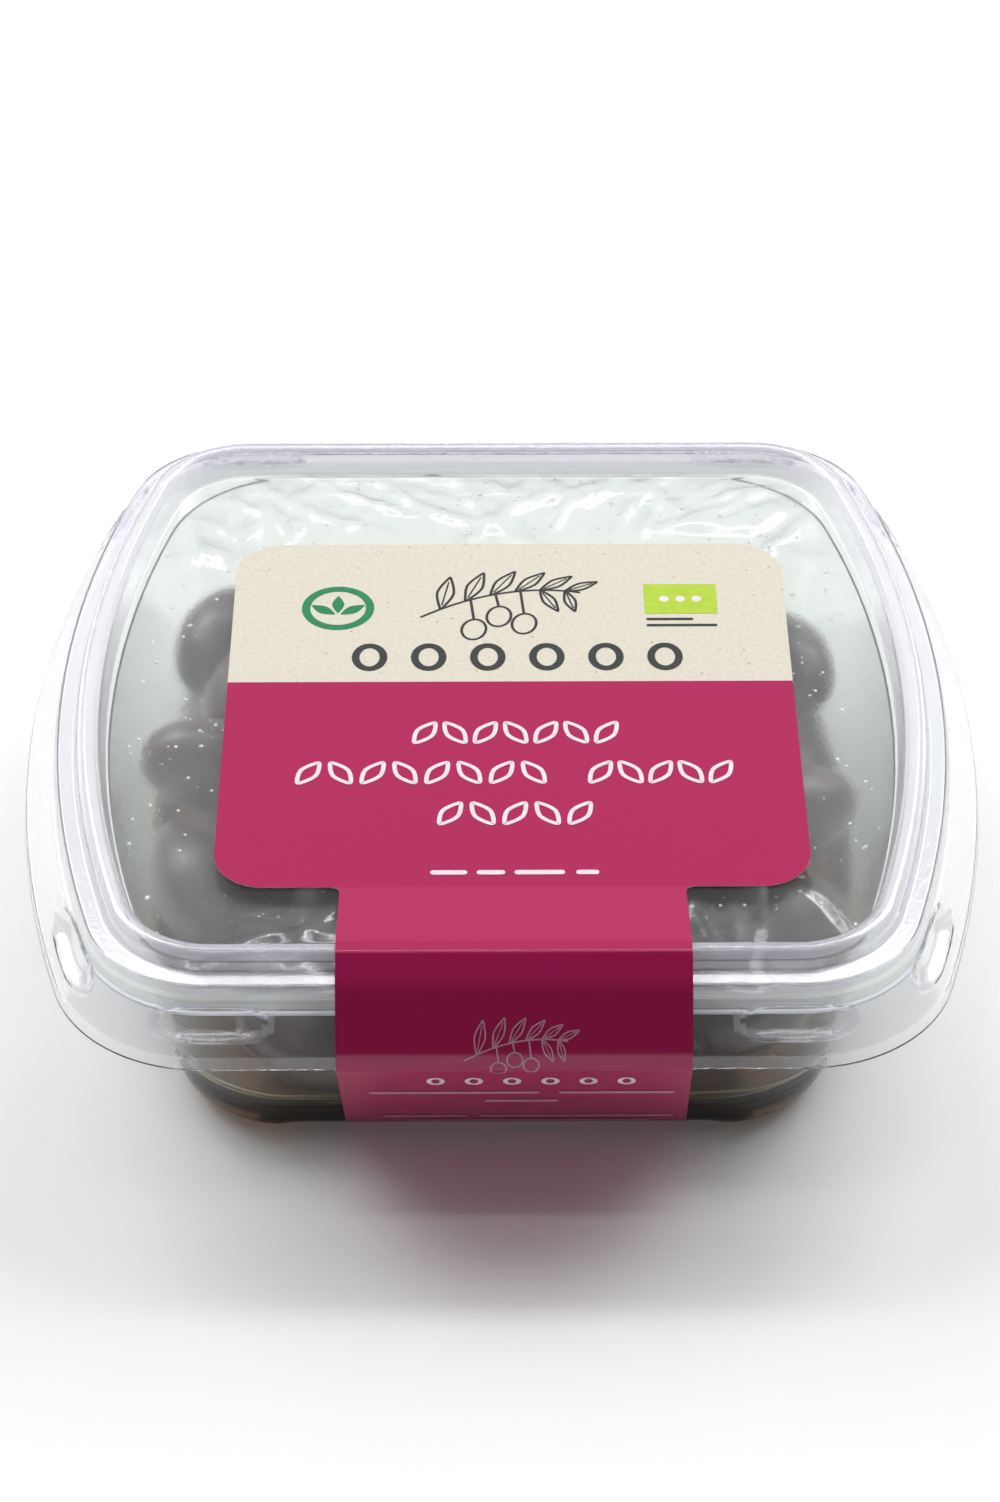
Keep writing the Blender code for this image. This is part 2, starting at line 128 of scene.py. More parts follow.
def new_material(name: str) -> tuple[bpy.types.Material, bpy.types.NodeTree]:
    """Make an empty material and give it with its node tree.

    Args:
        name: The material's name.

    Returns:
        The material and its node tree.
    """
    material = bpy.data.materials.new(name)
    material.use_nodes = True
    material.node_tree.nodes.clear()
    return material, material.node_tree


def end_see_through(tree: bpy.types.NodeTree, surface: bpy.types.Node, lamps_see: str) -> None:
    """End a see-through material.

    Args:
        tree: The material's node tree.
        surface: The shader that the eye sees.
        lamps_see: The light tint that a shadow ray gets instead, so that lamps reach what is inside.
    """
    clear = add_node(tree, "ShaderNodeBsdfTransparent", values={"Color": linear(lamps_see)})
    rays = add_node(tree, "ShaderNodeLightPath")
    mixed = add_node(
        tree,
        "ShaderNodeMixShader",
        links={0: rays.outputs["Is Shadow Ray"], 1: surface.outputs[0], 2: clear.outputs[0]},
    )
    add_node(tree, "ShaderNodeOutputMaterial", links={"Surface": mixed.outputs[0]})


@dataclass(frozen=True)
class ClearSheet:
    """Clear plastic: the eye sees its glints, its faint ripple and its edges.

    Attributes:
        name: The material's name.
        tint: Colour of what passes through.
        ior: Index of refraction.
        roughness: Blur of glints and of what is seen through.
        ripple: Size of the ripple in the surface.
        ripple_strength: How strongly the ripple bends the light.
        lamps_see: The tint that lamps get.
        clarity: Share of clear material; the rest is milky.
    """

    name: str
    tint: str
    ior: float
    roughness: float
    ripple: float
    ripple_strength: float
    lamps_see: str
    clarity: float = 1.0

    def material(self) -> bpy.types.Material:
        """Build the material.

        Returns:
            The material.
        """
        material, tree = new_material(self.name)
        place = add_node(tree, "ShaderNodeTexCoord")
        grain = add_node(
            tree,
            "ShaderNodeTexNoise",
            values={"Scale": 1.0 / self.ripple, "Detail": 2.0, "Roughness": 0.5},
            links={"Vector": place.outputs["Object"]},
        )
        bump = add_node(
            tree,
            "ShaderNodeBump",
            values={"Strength": self.ripple_strength, "Distance": 0.1 * self.ripple},
            links={"Height": grain.outputs["Fac"]},
        )
        sheet = add_node(
            tree,
            "ShaderNodeBsdfPrincipled",
            values={
                "Base Color": linear(self.tint),
                "Roughness": self.roughness,
                "IOR": self.ior,
                "Transmission Weight": self.clarity,
            },
            links={"Normal": bump.outputs["Normal"]},
        )
        end_see_through(tree, sheet, self.lamps_see)
        return material


@dataclass(frozen=True)
class OilyLiquid:
    """Olive brine and oil: a brown liquid that darkens with depth and has a mirror surface."""

    name: str = "olive_oil_liquid"
    tint: str = "#96683F"
    lamps_see: str = "#96703F"

    def material(self) -> bpy.types.Material:
        """Build the material.

        Returns:
            The material.
        """
        material, tree = new_material(self.name)
        liquid = add_node(
            tree,
            "ShaderNodeBsdfPrincipled",
            values={
                "Base Color": linear(self.tint),
                "Roughness": 0.02,
                "IOR": 1.46,
                "Transmission Weight": 1.0,
            },
        )
        end_see_through(tree, liquid, self.lamps_see)
        return material


@dataclass(frozen=True)
class OliveSkin:
    """Cured dark olive skin: oily and taut, from near black to wine brown, with pale specks."""

    name: str = "cured_olive_skin"
    dark: str = "#21161A"
    wine: str = "#46222B"
    bronze: str = "#573527"
    patch: float = 9.0 * MM
    speck: float = 0.55 * MM

    def material(self) -> bpy.types.Material:
        """Build the material.

        Returns:
            The material.
        """
        material, tree = new_material(self.name)
        place = add_node(tree, "ShaderNodeTexCoord").outputs["Object"]
        patches = add_node(
            tree,
            "ShaderNodeTexNoise",
            values={"Scale": 1.0 / self.patch, "Detail": 3.0, "Roughness": 0.6},
            links={"Vector": place},
        )
        skin = add_node(
            tree,
            "ShaderNodeValToRGB",
            links={"Fac": patches.outputs["Fac"]},
            stops=[(0.32, self.dark), (0.55, self.wine), (0.72, self.bronze)],
        )
        specks = add_node(
            tree,
            "ShaderNodeTexNoise",
            values={"Scale": 1.0 / self.speck, "Detail": 1.0},
            links={"Vector": place},
        )
        bump = add_node(
            tree,
            "ShaderNodeBump",
            values={"Strength": 0.12, "Distance": 0.15 * MM},
            links={"Height": specks.outputs["Fac"]},
        )
        shader = add_node(
            tree,
            "ShaderNodeBsdfPrincipled",
            values={"Roughness": 0.36, "IOR": 1.48, "Coat Weight": 0.8, "Coat Roughness": 0.16},
            links={"Base Color": skin.outputs["Color"], "Normal": bump.outputs["Normal"]},
        )
        add_node(tree, "ShaderNodeOutputMaterial", links={"Surface": shader.outputs[0]})
        return material


@dataclass(frozen=True)
class LabelPaper:
    """Coated label paper, offset printed: a kraft-flecked cream band above a flat magenta field."""

    name: str = "coated_label_paper"
    cream: str = "#E8E2D3"
    fleck: str = "#B49C7C"
    haze: str = "#DFD7C5"
    magenta: str = "#B5225D"
    edge: float = 40.7 * MM
    fleck_size: float = 0.9 * MM
    tooth_size: float = 0.4 * MM

    def material(self) -> bpy.types.Material:
        """Build the material, with the band's edge placed by the sheet's own UV map in metres.

        Returns:
            The material.
        """
        material, tree = new_material(self.name)
        sheet = add_node(tree, "ShaderNodeUVMap", settings={"uv_map": LabelSheet.UV_NAME}).outputs["UV"]
        along = add_node(tree, "ShaderNodeSeparateXYZ", links={"Vector": sheet}).outputs["Y"]
        in_magenta = add_node(
            tree,
            "ShaderNodeMath",
            settings={"operation": "GREATER_THAN"},
            values={1: self.edge},
            links={0: along},
        )
        soft = add_node(
            tree,
            "ShaderNodeTexNoise",
            values={"Scale": 1.1 / self.fleck_size, "Detail": 4.0},
            links={"Vector": sheet},
        )
        ground = add_node(
            tree,
            "ShaderNodeValToRGB",
            links={"Fac": soft.outputs["Fac"]},
            stops=[(0.38, self.cream), (0.74, self.haze)],
        )
        fibres = add_node(
            tree,
            "ShaderNodeTexVoronoi",
            values={"Scale": 0.3 / self.fleck_size, "Randomness": 1.0},
            links={"Vector": sheet},
        )
        spots = add_node(
            tree,
            "ShaderNodeValToRGB",
            links={"Fac": fibres.outputs["Distance"]},
            stops=[(0.05, "#E0E0E0"), (0.10, "#000000")],
        )
        band = add_node(
            tree,
            "ShaderNodeMix",
            settings={"data_type": "RGBA"},
            values={"B": linear(self.fleck)},
            links={"Factor": spots.outputs["Color"], "A": ground.outputs["Color"]},
        )
        print_colour = add_node(
            tree,
            "ShaderNodeMix",
            settings={"data_type": "RGBA"},
            values={"B": linear(self.magenta)},
            links={"Factor": in_magenta.outputs[0], "A": band.outputs["Result"]},
        )
        tooth = add_node(
            tree,
            "ShaderNodeTexNoise",
            values={"Scale": 1.0 / self.tooth_size, "Detail": 2.0},
            links={"Vector": sheet},
        )
        bump = add_node(
            tree,
            "ShaderNodeBump",
            values={"Strength": 0.12, "Distance": 0.05 * MM},
            links={"Height": tooth.outputs["Fac"]},
        )
        shader = add_node(
            tree,
            "ShaderNodeBsdfPrincipled",
            values={"Roughness": 0.18, "IOR": 1.45},
            links={"Base Color": print_colour.outputs["Result"], "Normal": bump.outputs["Normal"]},
        )
        add_node(tree, "ShaderNodeOutputMaterial", links={"Surface": shader.outputs[0]})
        return material


@dataclass(frozen=True)
class FlatInk:
    """A flat printing ink or plain paper, with a faint unevenness of tone."""

    name: str
    colour: str
    shade: str
    roughness: float = 0.4
    grain: float = 1.0 / 900.0

    def material(self) -> bpy.types.Material:
        """Build the material.

        Returns:
            The material.
        """
        material, tree = new_material(self.name)
        place = add_node(tree, "ShaderNodeTexCoord").outputs["Object"]
        tone = add_node(
            tree,
            "ShaderNodeTexNoise",
            values={"Scale": 1.0 / self.grain, "Detail": 3.0},
            links={"Vector": place},
        )
        colour = add_node(
            tree,
            "ShaderNodeValToRGB",
            links={"Fac": tone.outputs["Fac"]},
            stops=[(0.35, self.shade), (0.6, self.colour)],
        )
        shader = add_node(
            tree,
            "ShaderNodeBsdfPrincipled",
            values={"Roughness": self.roughness, "IOR": 1.5},
            links={"Base Color": colour.outputs["Color"]},
        )
        add_node(tree, "ShaderNodeOutputMaterial", links={"Surface": shader.outputs[0]})
        return material


@dataclass(frozen=True)
class Stations:
    """How many steps each stretch of a quarter outline has; they crowd towards the corner."""

    side: int = 14
    corner: int = 26
    front: int = 28
    crowding: float = 1.5


@dataclass(frozen=True)
class Plan:
    """A closed outline seen from above: bowed sides, round corners, straight front and back."""

    half_width: float
    half_depth: float
    side_radius: float
    corner_radius: float

    def grown(self, offset: float, corner_share: float = 1.0) -> "Plan":
        """The outline moved outwards, or inwards by a negative offset.

        Args:
            offset: How far the outline moves.
            corner_share: How much of it the corner's radius gets.

        Returns:
            The moved outline.
        """
        return Plan(
            self.half_width + offset,
            self.half_depth + offset,
            self.side_radius + offset,
            max(self.corner_radius + corner_share * offset, 0.5 * MM),
        )

    def toward(self, other: "Plan", share: float) -> "Plan":
        """The outline a share of the way towards another.

        Args:
            other: The outline to go to.
            share: How far to go, from 0 to 1.

        Returns:
            The outline between.
        """
        return Plan(
            *(
                own + (far - own) * share
                for own, far in zip(
                    (self.half_width, self.half_depth, self.side_radius, self.corner_radius),
                    (other.half_width, other.half_depth, other.side_radius, other.corner_radius),
                )
            )
        )

    def corner_middle(self) -> Point2:
        """The middle of the round corner at the back right.

        Returns:
            Its place in plan.
        """
        middle_y = self.half_depth - self.corner_radius
        reach = self.side_radius - self.corner_radius
        return self.half_width - self.side_radius + math.sqrt(reach * reach - middle_y * middle_y), middle_y

    def quarter(self, stations: Stations) -> list[Point2]:
        """Points from the middle of the right side to the middle of the back.

        Args:
            stations: How many steps each stretch has.

        Returns:
            The points, anticlockwise.
        """
        middle_x, middle_y = self.corner_middle()
        start = math.asin(middle_y / (self.side_radius - self.corner_radius))
        side_x = self.half_width - self.side_radius
        points = []
        for step in range(stations.side):
            angle = start * (1.0 - (1.0 - step / stations.side) ** stations.crowding)
            points.append((side_x + self.side_radius * math.cos(angle), self.side_radius * math.sin(angle)))
        for step in range(stations.corner):
            angle = start + (math.pi / 2 - start) * step / stations.corner
            radius = self.corner_radius
            points.append((middle_x + radius * math.cos(angle), middle_y + radius * math.sin(angle)))
        for step in range(stations.front + 1):
            points.append((middle_x * (1.0 - (step / stations.front) ** stations.crowding), self.half_depth))
        return points

    def points(self, stations: Stations) -> list[Point2]:
        """The whole outline, anticlockwise from the middle of the right side.

        Args:
            stations: How many steps each stretch has.

        Returns:
            The points of the closed outline.
        """
        first = self.quarter(stations)
        second = [(-x, y) for x, y in reversed(first)]
        half = first[:-1] + second[:-1]
        return half + [(-x, -y) for x, y in half]

    def holds(self, x: float, y: float) -> bool:
        """Whether a point lies inside the outline.

        Args:
            x: Distance to the right of the middle.
            y: Distance behind the middle.

        Returns:
            True inside the outline.
        """
        x, y = abs(x), abs(y)
        if y > self.half_depth or math.hypot(x - (self.half_width - self.side_radius), y) > self.side_radius:
            return False
        middle_x, middle_y = self.corner_middle()
        past_corner = math.hypot(x - middle_x, y - middle_y) > self.corner_radius
        return not (x > middle_x and y > middle_y and past_corner)


def rounded(bends: Sequence[tuple[float, float, float]], steps: int = 5) -> list[Point2]:
    """Round the corners of an open line.

    Args:
        bends: The line's corners, each with its radius, or with 0 where it stays sharp.
        steps: Segments of each rounding.

    Returns:
        The line with its roundings.
    """
    line = [bends[0][:2]]
    for before, bend, after in zip(bends, bends[1:], bends[2:]):
        corner = Vector(bend[:2])
        back = Vector(before[:2]) - corner
        ahead = Vector(after[:2]) - corner
        turn = back.angle(ahead)
        if bend[2] <= 0.0 or abs(turn - math.pi) < 1e-3:
            line.append(bend[:2])
            continue
        cut = min(bend[2] / math.tan(0.5 * turn), 0.48 * back.length, 0.48 * ahead.length)
        start = corner + back.normalized() * cut
        end = corner + ahead.normalized() * cut
        for step in range(steps + 1):
            share = step / steps
            line.append(tuple(start.lerp(corner, share).lerp(corner.lerp(end, share), share)))
    line.append(bends[-1][:2])
    return line


def held(line: Sequence[Point2], gap: float, pitch: float) -> list[Point2]:
    """Add points to the straight runs of a line, so that smooth shading stays in its bends.

    Args:
        line: The line's points.
        gap: Distance of the first added point from each end of a run.
        pitch: The largest distance between the points further in.

    Returns:
        The line with the added points.
    """
    closer = [line[0]]
    for start, end in zip(line, line[1:]):
        length = math.dist(start, end)
        straight = length - 2.0 * gap
        if length > 3.0 * gap:
            inner = max(math.ceil(straight / pitch), 1)
            for step in range(inner + 1):
                share = (gap + straight * step / inner) / length
                closer.append(tuple(Vector(start).lerp(Vector(end), share)))
        closer.append(end)
    return closer


def skin_offset(section: Sequence[Point2], distance: float) -> list[Point2]:
    """Move an open line to its right-hand side, with mitred corners.

    Args:
        section: The line.
        distance: How far it moves.

    Returns:
        The moved line.
    """
    moved = []
    last = len(section) - 1
    for index, point in enumerate(section):
        runs = [
            Vector(section[b]) - Vector(section[a])
            for a, b in ((index - 1, index), (index, index + 1))
            if a >= 0 and b <= last
        ]
        normals = [Vector((run.y, -run.x)).normalized() for run in runs if run.length > 1e-9]
        middle = sum(normals, Vector((0.0, 0.0))).normalized()
        stretch = distance / max(middle.dot(normals[0]), 0.5)
        moved.append((point[0] + middle.x * stretch, point[1] + middle.y * stretch))
    return moved


def extrude_rings(rings: Sequence[Sequence[Point3]], capped: bool = True) -> bmesh.types.BMesh:
    """Extrude a circle's edge from ring to ring.

    Args:
        rings: Rings of equal count, each a list of places.
        capped: Whether the first and the last ring are filled.

    Returns:
        The bmesh, with its normals recalculated.
    """
    bm = bmesh.new()
    station = bm.verts.layers.int.new("station")
    made = bmesh.ops.create_circle(bm, segments=len(rings[0]), radius=1.0)["verts"]
    for index, vertex in enumerate(made):
        vertex[station] = index
        vertex.co = rings[0][index]
    first = list(bm.edges)
    edges = first
    for ring in rings[1:]:
        grown = bmesh.ops.extrude_edge_only(bm, edges=edges)["geom"]
        fresh = {item for item in grown if isinstance(item, bmesh.types.BMVert)}
        for vertex in fresh:
            vertex.co = ring[vertex[station]]
        edges = [
            item
            for item in grown
            if isinstance(item, bmesh.types.BMEdge) and item.verts[0] in fresh and item.verts[1] in fresh
        ]
    if capped:
        bmesh.ops.contextual_create(bm, geom=first)
        bmesh.ops.contextual_create(bm, geom=edges)
    bmesh.ops.recalc_face_normals(bm, faces=bm.faces)
    return bm


@dataclass
class Workshop:
    """Turns bmeshes into finished pieces that ride on the pack's one body."""

    made: list[bpy.types.Object] = field(default_factory=list)

    def piece(
        self,
        bm: bmesh.types.BMesh,
        name: str,
        materials: Sequence[bpy.types.Material],
        stands_for: Sequence[str] = (),
        smooth_angle: float = 40.0,
    ) -> bpy.types.Object:
        """Make an object of a bmesh, dress it and hang it on the body.

        Args:
            bm: The mesh, which is freed.
            name: The piece's name.
            materials: Its materials in slot order.
            stands_for: CAD nodes that it replaces.
            smooth_angle: Edges that turn by more than this many degrees stay sharp.

        Returns:
            The finished object.
        """
        mesh = bpy.data.meshes.new(name)
        bm.to_mesh(mesh)
        bm.free()
        mesh.shade_smooth()
        mesh.set_sharp_from_angle(angle=math.radians(smooth_angle))
        for material in materials:
            mesh.materials.append(material)
        thing = bpy.data.objects.new(name, mesh)
        bpy.context.scene.collection.objects.link(thing)
        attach(thing, BODY)
        if stands_for:
            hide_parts(*stands_for)
        self.made.append(thing)
        LOG.info("%s: %d faces", name, len(mesh.polygons))
        return thing


@dataclass(frozen=True)
class Pack:
    """Sizes that the pieces share, measured from the frame where it has them."""

    rim_top: float
    middle_y: float
    flange_top: float
    bead: Plan = Plan(72.4 * MM, 72.0 * MM, 205.0 * MM, 18.0 * MM)
    base: Plan = Plan(60.6 * MM, 64.4 * MM, 192.0 * MM, 19.0 * MM)
    mouth: Plan = Plan(67.8 * MM, 71.6 * MM, 200.0 * MM, 24.0 * MM)
    corner_tightening: float = 0.8
    edge_radius: float = 4.5 * MM
    foot_lift: float = 1.2 * MM
    solid_wall: float = 0.7 * MM
    stations: Stations = Stations()

    @classmethod
    def from_frame(cls) -> "Pack":
        """Read the heights and the middle from the CAD nodes' boxes.

        Returns:
            The pack's shared sizes.
        """
        lid_low, lid_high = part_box("lid")
        tub_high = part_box("tub")[1]
        return cls(lid_high[2], 0.5 * (lid_low[1] + lid_high[1]), tub_high[2])

    def bead_ring(self, offset: float, stations: Stations | None = None) -> list[Point2]:
        """The bead's outer edge moved by an offset, placed in the frame."""
        share = self.corner_tightening if offset > 0.0 else 1.0
        return self.placed(self.bead.grown(offset, share), stations)

    def wall(self, height: float, inset: float) -> Plan:
        """The tub's wall at a height, moved inwards."""
        return self.base.toward(self.mouth, min(max(height / self.flange_top, 0.0), 1.0)).grown(-inset)

    def placed(self, plan: Plan, stations: Stations | None = None) -> list[Point2]:
        """An outline's points, moved to the pack's middle."""
        return [(x, y + self.middle_y) for x, y in plan.points(stations or self.stations)]

    def edge_inset(self, height: float, radius: float) -> float:
        """How far a rounded bottom edge stands back at a height above its lowest plane.

        Args:
            height: Height above the edge's lowest plane.
            radius: The edge's radius.

        Returns:
            The distance inwards.
        """
        if height >= radius:
            return 0.0
        return radius - math.sqrt(radius * radius - (radius - height) ** 2)


@dataclass
class PressLid:
    """The clear lid: recessed panel, bead, ledge, wide slope with pressed pockets, small lip."""

    pack: Pack
    sheet: float = 0.45 * MM
    bead_width: float = 3.8 * MM
    panel_depth: float = 5.6 * MM
    ledge_depth: float = 3.3 * MM
    ledge_out: float = 3.9 * MM
    slope_top: Point2 = (4.5 * MM, 6.4 * MM)
    slope_end: Point2 = (9.2 * MM, 13.2 * MM)
    lip_out: float = 9.8 * MM
    lip_depth: float = 15.8 * MM
    lip_radius: float = 2.2 * MM
    slope_lines: int = 26
    slope_share: float = 0.8
    stations: Stations = Stations(20, 58, 42)
    pocket_half: Point2 = (9.6 * MM, 2.8 * MM)
    pocket_at: float = 0.39
    pocket_depth: float = 1.5 * MM
    pocket_edge: float = 0.62
    pocket_rim: Point2 = (0.16, 0.10)
    # Band of reach that gets the rims' whitish finish, which is partly a painted glint.
    pocket_haze_and_glint_band: Point2 = (0.90, 1.07)
    pocket_front_x: float = 46.3 * MM
    pocket_side_y: float = 61.0 * MM

    def section(self) -> tuple[list[Point2], list[float]]:
        """The upper skin from the panel to the lip.

        Returns:
            Each line's offset from the bead's edge and its height; each line's share of the slope, or -1.
        """
        top = self.pack.rim_top
        panel, ledge = top - self.panel_depth, top - self.ledge_depth
        bends = (
            (-self.bead_width - 1.6 * MM, panel, 0.0),
            (-self.bead_width - 0.9 * MM, panel, 0.5 * MM),
            (-self.bead_width, top - 1.3 * MM, 1.6 * MM),
            (-self.bead_width + 0.9 * MM, top - 0.25 * MM, 1.6 * MM),
            (-1.9 * MM, top, 2.5 * MM),
            (-0.9 * MM, top - 0.25 * MM, 1.6 * MM),
            (0.1 * MM, top - 1.4 * MM, 1.6 * MM),
            (0.6 * MM, ledge + 0.1 * MM, 0.6 * MM),
            (self.ledge_out - 0.4 * MM, ledge - 0.27 * MM, 0.6 * MM),
            (self.ledge_out + 0.35 * MM, top - self.slope_top[1] + 0.3 * MM, 0.0),
        )
        above = held(rounded(bends), 0.15 * MM, 1.0 * MM)
        slope_steps = [self.slope_share * step / self.slope_lines for step in range(self.slope_lines + 1)]
        slope = []
        for share in slope_steps:
            out = self.slope_top[0] + (self.slope_end[0] - self.slope_top[0]) * share
            drop = self.slope_top[1] + (self.slope_end[1] - self.slope_top[1]) * share
            slope.append((out, top - drop))
        lip_fold = (self.slope_end[0] + 0.2 * MM, top - self.slope_end[1] - 0.3 * MM, self.lip_radius)
        below = rounded([(*slope[-1], 0.0), lip_fold, (self.lip_out, top - self.lip_depth, 0.0)])[1:]
        return above + slope + below, [-1.0] * len(above) + slope_steps + [-1.0] * len(below)

    def pocket_places(self) -> list[Point2]:
        """The middle of each pocket in plan.

        Returns:
            Two places at each of the four corners.
        """
        out = 0.5 * (self.slope_top[0] + self.slope_end[0])
        front_y = self.pack.bead.half_depth + out
        side_x = self.pack.bead.half_width - 1.5 * MM
        return [
            place
            for turn_x in (-1, 1)
            for turn_y in (-1, 1)
            for place in (
                (turn_x * self.pocket_front_x, turn_y * front_y + self.pack.middle_y),
                (turn_x * side_x, turn_y * self.pocket_side_y + self.pack.middle_y),
            )
        ]

    def pocket_reach(self, point: Point2, along_slope: float, places: Sequence[Point2]) -> float:
        """How far a place lies from the nearest pocket's middle, with 1 on that pocket's edge.

        Args:
            point: The place in plan.
            along_slope: Its share of the way down the slope.
            places: The middles of the pockets.

        Returns:
            0 in a pocket's middle, 1 on its edge, more outside.
        """
        slope_length = math.dist(self.slope_top, self.slope_end)
        across = (along_slope - self.pocket_at) * slope_length / self.pocket_half[1]
        along = min(math.dist(point, place) for place in places) / self.pocket_half[0]
        return (abs(along) ** 3.2 + abs(across) ** 2.6) ** (1.0 / 2.8)

    def pocket_share(self, reach: float) -> float:
        """How deep the sheet is pressed in: 1 on a pocket's floor, 0 outside, less on its raised rim.

        Args:
            reach: How far the place lies from the pocket's middle.

        Returns:
            The share of the depth.
        """
        height, width = self.pocket_rim
        rim = height * math.exp(-(((reach - 1.0) / width) ** 2))
        return min(max((1.0 - reach) / (1.0 - self.pocket_edge), 0.0), 1.0) - rim

    def rings(self, section: Sequence[Point2], shares: Sequence[float]) -> list[list[Point3]]:
        """The rings of one skin, with the pockets pressed in.

        Args:
            section: Offset and height of each line.
            shares: Each line's share of the slope, or -1 off it.

        Returns:
            A ring of places for each line.
        """
        places = self.pocket_places()
        rings = []
        for (out, height), share in zip(section, shares):
            ring = self.pack.bead_ring(out, self.stations)
            if share >= 0.0:
                deeper = self.pack.bead_ring(out - self.pocket_depth, self.stations)
                pressed = [self.pocket_share(self.pocket_reach(point, share, places)) for point in ring]
                ring = [
                    (near[0] + (far[0] - near[0]) * press, near[1] + (far[1] - near[1]) * press)
                    for near, far, press in zip(ring, deeper, pressed)
                ]
            rings.append([(x, y, height) for x, y in ring])
        return rings

    def on_pocket_rim(self, middle: Vector, places: Sequence[Point2]) -> bool:
        """Whether a face's middle lies on the rim of a pocket.

        Args:
            middle: The face's middle.
            places: The middles of the pockets.

        Returns:
            True on a rim.
        """
        drop = self.pack.rim_top - middle.z
        share = (drop - self.slope_top[1]) / (self.slope_end[1] - self.slope_top[1])
        low, high = self.pocket_haze_and_glint_band
        return 0.0 < share < self.slope_share and low < self.pocket_reach(middle.xy, share, places) < high

    def build(
        self, shop: Workshop, finish: ClearSheet, hazy: ClearSheet, drawn: ClearSheet
    ) -> bpy.types.Object:
        """Build the lid as one shell.

        Args:
            shop: Where the piece is made.
            finish: Finish of the panel, the slope and the lip.
            hazy: Finish of the stretched bead and ledge.
            drawn: Finish of the pockets' rims, whitened and with a painted glint.

        Returns:
            The lid.
        """
        upper, shares = self.section()
        lower = skin_offset(upper, self.sheet)
        lower[-1] = (lower[-1][0], upper[-1][1])
        bm = extrude_rings(self.rings(upper, shares) + self.rings(lower, shares)[::-1])
        places = self.pocket_places()
        for face in bm.faces:
            middle = face.calc_center_median()
            if middle.z > self.pack.rim_top - self.panel_depth + 0.3 * MM:
                face.material_index = 1
            # Pocket rims get a whitish finish, partly a painted glint of the bend.
            elif self.on_pocket_rim(middle, places):
                face.material_index = 2
        finishes = [finish.material(), hazy.material(), drawn.material()]
        return shop.piece(bm, "clear_lid", finishes, ["lid"], 60.0)


@dataclass
class ClearTub:
    """The thin tub: foot ring with a gap for the label, drafted wall, flange round its mouth."""

    pack: Pack
    sheet: float = 0.5 * MM
    flange_out: float = 4.6 * MM
    foot_width: float = 6.0 * MM
    gap_half_width: float = 36.0 * MM
    gap_fade: float = 3.0 * MM
    cut_width: float = 0.7 * MM
    edge_steps: int = 8
    wall_steps: int = 14

    def lifted(self, ring: Sequence[Point2], height: float, lift: float) -> list[Point3]:
        """Give a ring its height, lifted where the label passes under.

        Args:
            ring: The ring in plan.
            height: Its height away from the gap.
            lift: How much higher it lies in the gap.

        Returns:
            The ring's places.
        """
        start, end = self.gap_half_width - self.gap_fade, self.gap_half_width + self.gap_fade
        placed = []
        for x, y in ring:
            inside = 1.0 - smoothstep(start, end, abs(x))
            placed.append((x, y, height + (lift * inside if y < 0.0 else 0.0)))
        return placed

    def bottom(self, floor: float, inset: float, lift: float) -> list[list[Point3]]:
        """Rings round the bottom edge, from its lowest plane to the wall.

        Args:
            floor: Height of the lowest plane.
            inset: How far the skin stands inside the tub's outer one.
            lift: How much higher the lowest ring lies in the gap.

        Returns:
            The rings, from the lowest up.
        """
        radius = self.pack.edge_radius
        rings = []
        for step in range(self.edge_steps + 1):
            height = radius * (1.0 - math.cos(0.5 * math.pi * step / self.edge_steps))
            plan = self.pack.wall(floor + height, inset + self.pack.edge_inset(height, radius))
            fade = lift * (1.0 - height / radius)
            rings.append(self.lifted(self.pack.placed(plan), floor + height, fade))
        return rings

    def build(
        self, shop: Workshop, finish: ClearSheet, weld: ClearSheet, cut: ClearSheet
    ) -> bpy.types.Object:
        """Build the tub as one shell.

        Args:
            shop: Where the piece is made.
            finish: Finish of the wall and the base.
            weld: Finish of the heated flange.
            cut: Finish of the flange's cut edge.

        Returns:
            The tub.
        """
        pack = self.pack
        radius, lift, top = pack.edge_radius, pack.foot_lift, pack.flange_top
        panel = pack.wall(0.0, radius + self.foot_width + 1.5 * MM)
        shoulder = pack.wall(0.0, radius + self.foot_width)
        rings = [
            self.lifted(pack.placed(panel.grown(-1.0 * MM)), lift, 0.0),
            self.lifted(pack.placed(panel), lift, 0.0),
            self.lifted(pack.placed(shoulder), 0.0, lift),
        ]
        rings += self.bottom(0.0, 0.0, lift)
        for step in range(1, self.wall_steps + 1):
            height = radius + (top - self.sheet - radius) * step / self.wall_steps
            rings.append(self.lifted(pack.placed(pack.wall(height, 0.0)), height, 0.0))
        for out, height in (
            (self.flange_out - self.cut_width, top - self.sheet),
            (self.flange_out - 0.1 * MM, top - self.sheet),
            (self.flange_out, top - 0.5 * self.sheet),
            (self.flange_out - 0.1 * MM, top),
            (self.flange_out - self.cut_width, top),
        ):
            rings.append([(x, y, height) for x, y in pack.bead_ring(out)])
        floor = lift + self.sheet
        for step in range(self.wall_steps):
            height = top - (top - floor - radius) * step / self.wall_steps
            rings.append(self.lifted(pack.placed(pack.wall(height, self.sheet)), height, 0.0))
        rings += self.bottom(floor, self.sheet, 0.0)[::-1]
        bm = extrude_rings(rings)
        heated = pack.mouth.grown(0.3 * MM)
        edge = pack.bead.grown(self.flange_out - self.cut_width, pack.corner_tightening)
        for face in bm.faces:
            middle = face.calc_center_median()
            place = (middle.x, middle.y - pack.middle_y)
            if middle.z > top - 1.2 * self.sheet and not heated.holds(*place):
                face.material_index = 1 if edge.holds(*place) else 2
        finishes = [finish.material(), weld.material(), cut.material()]
        return shop.piece(bm, "clear_tub", finishes, ["tub"], 50.0)


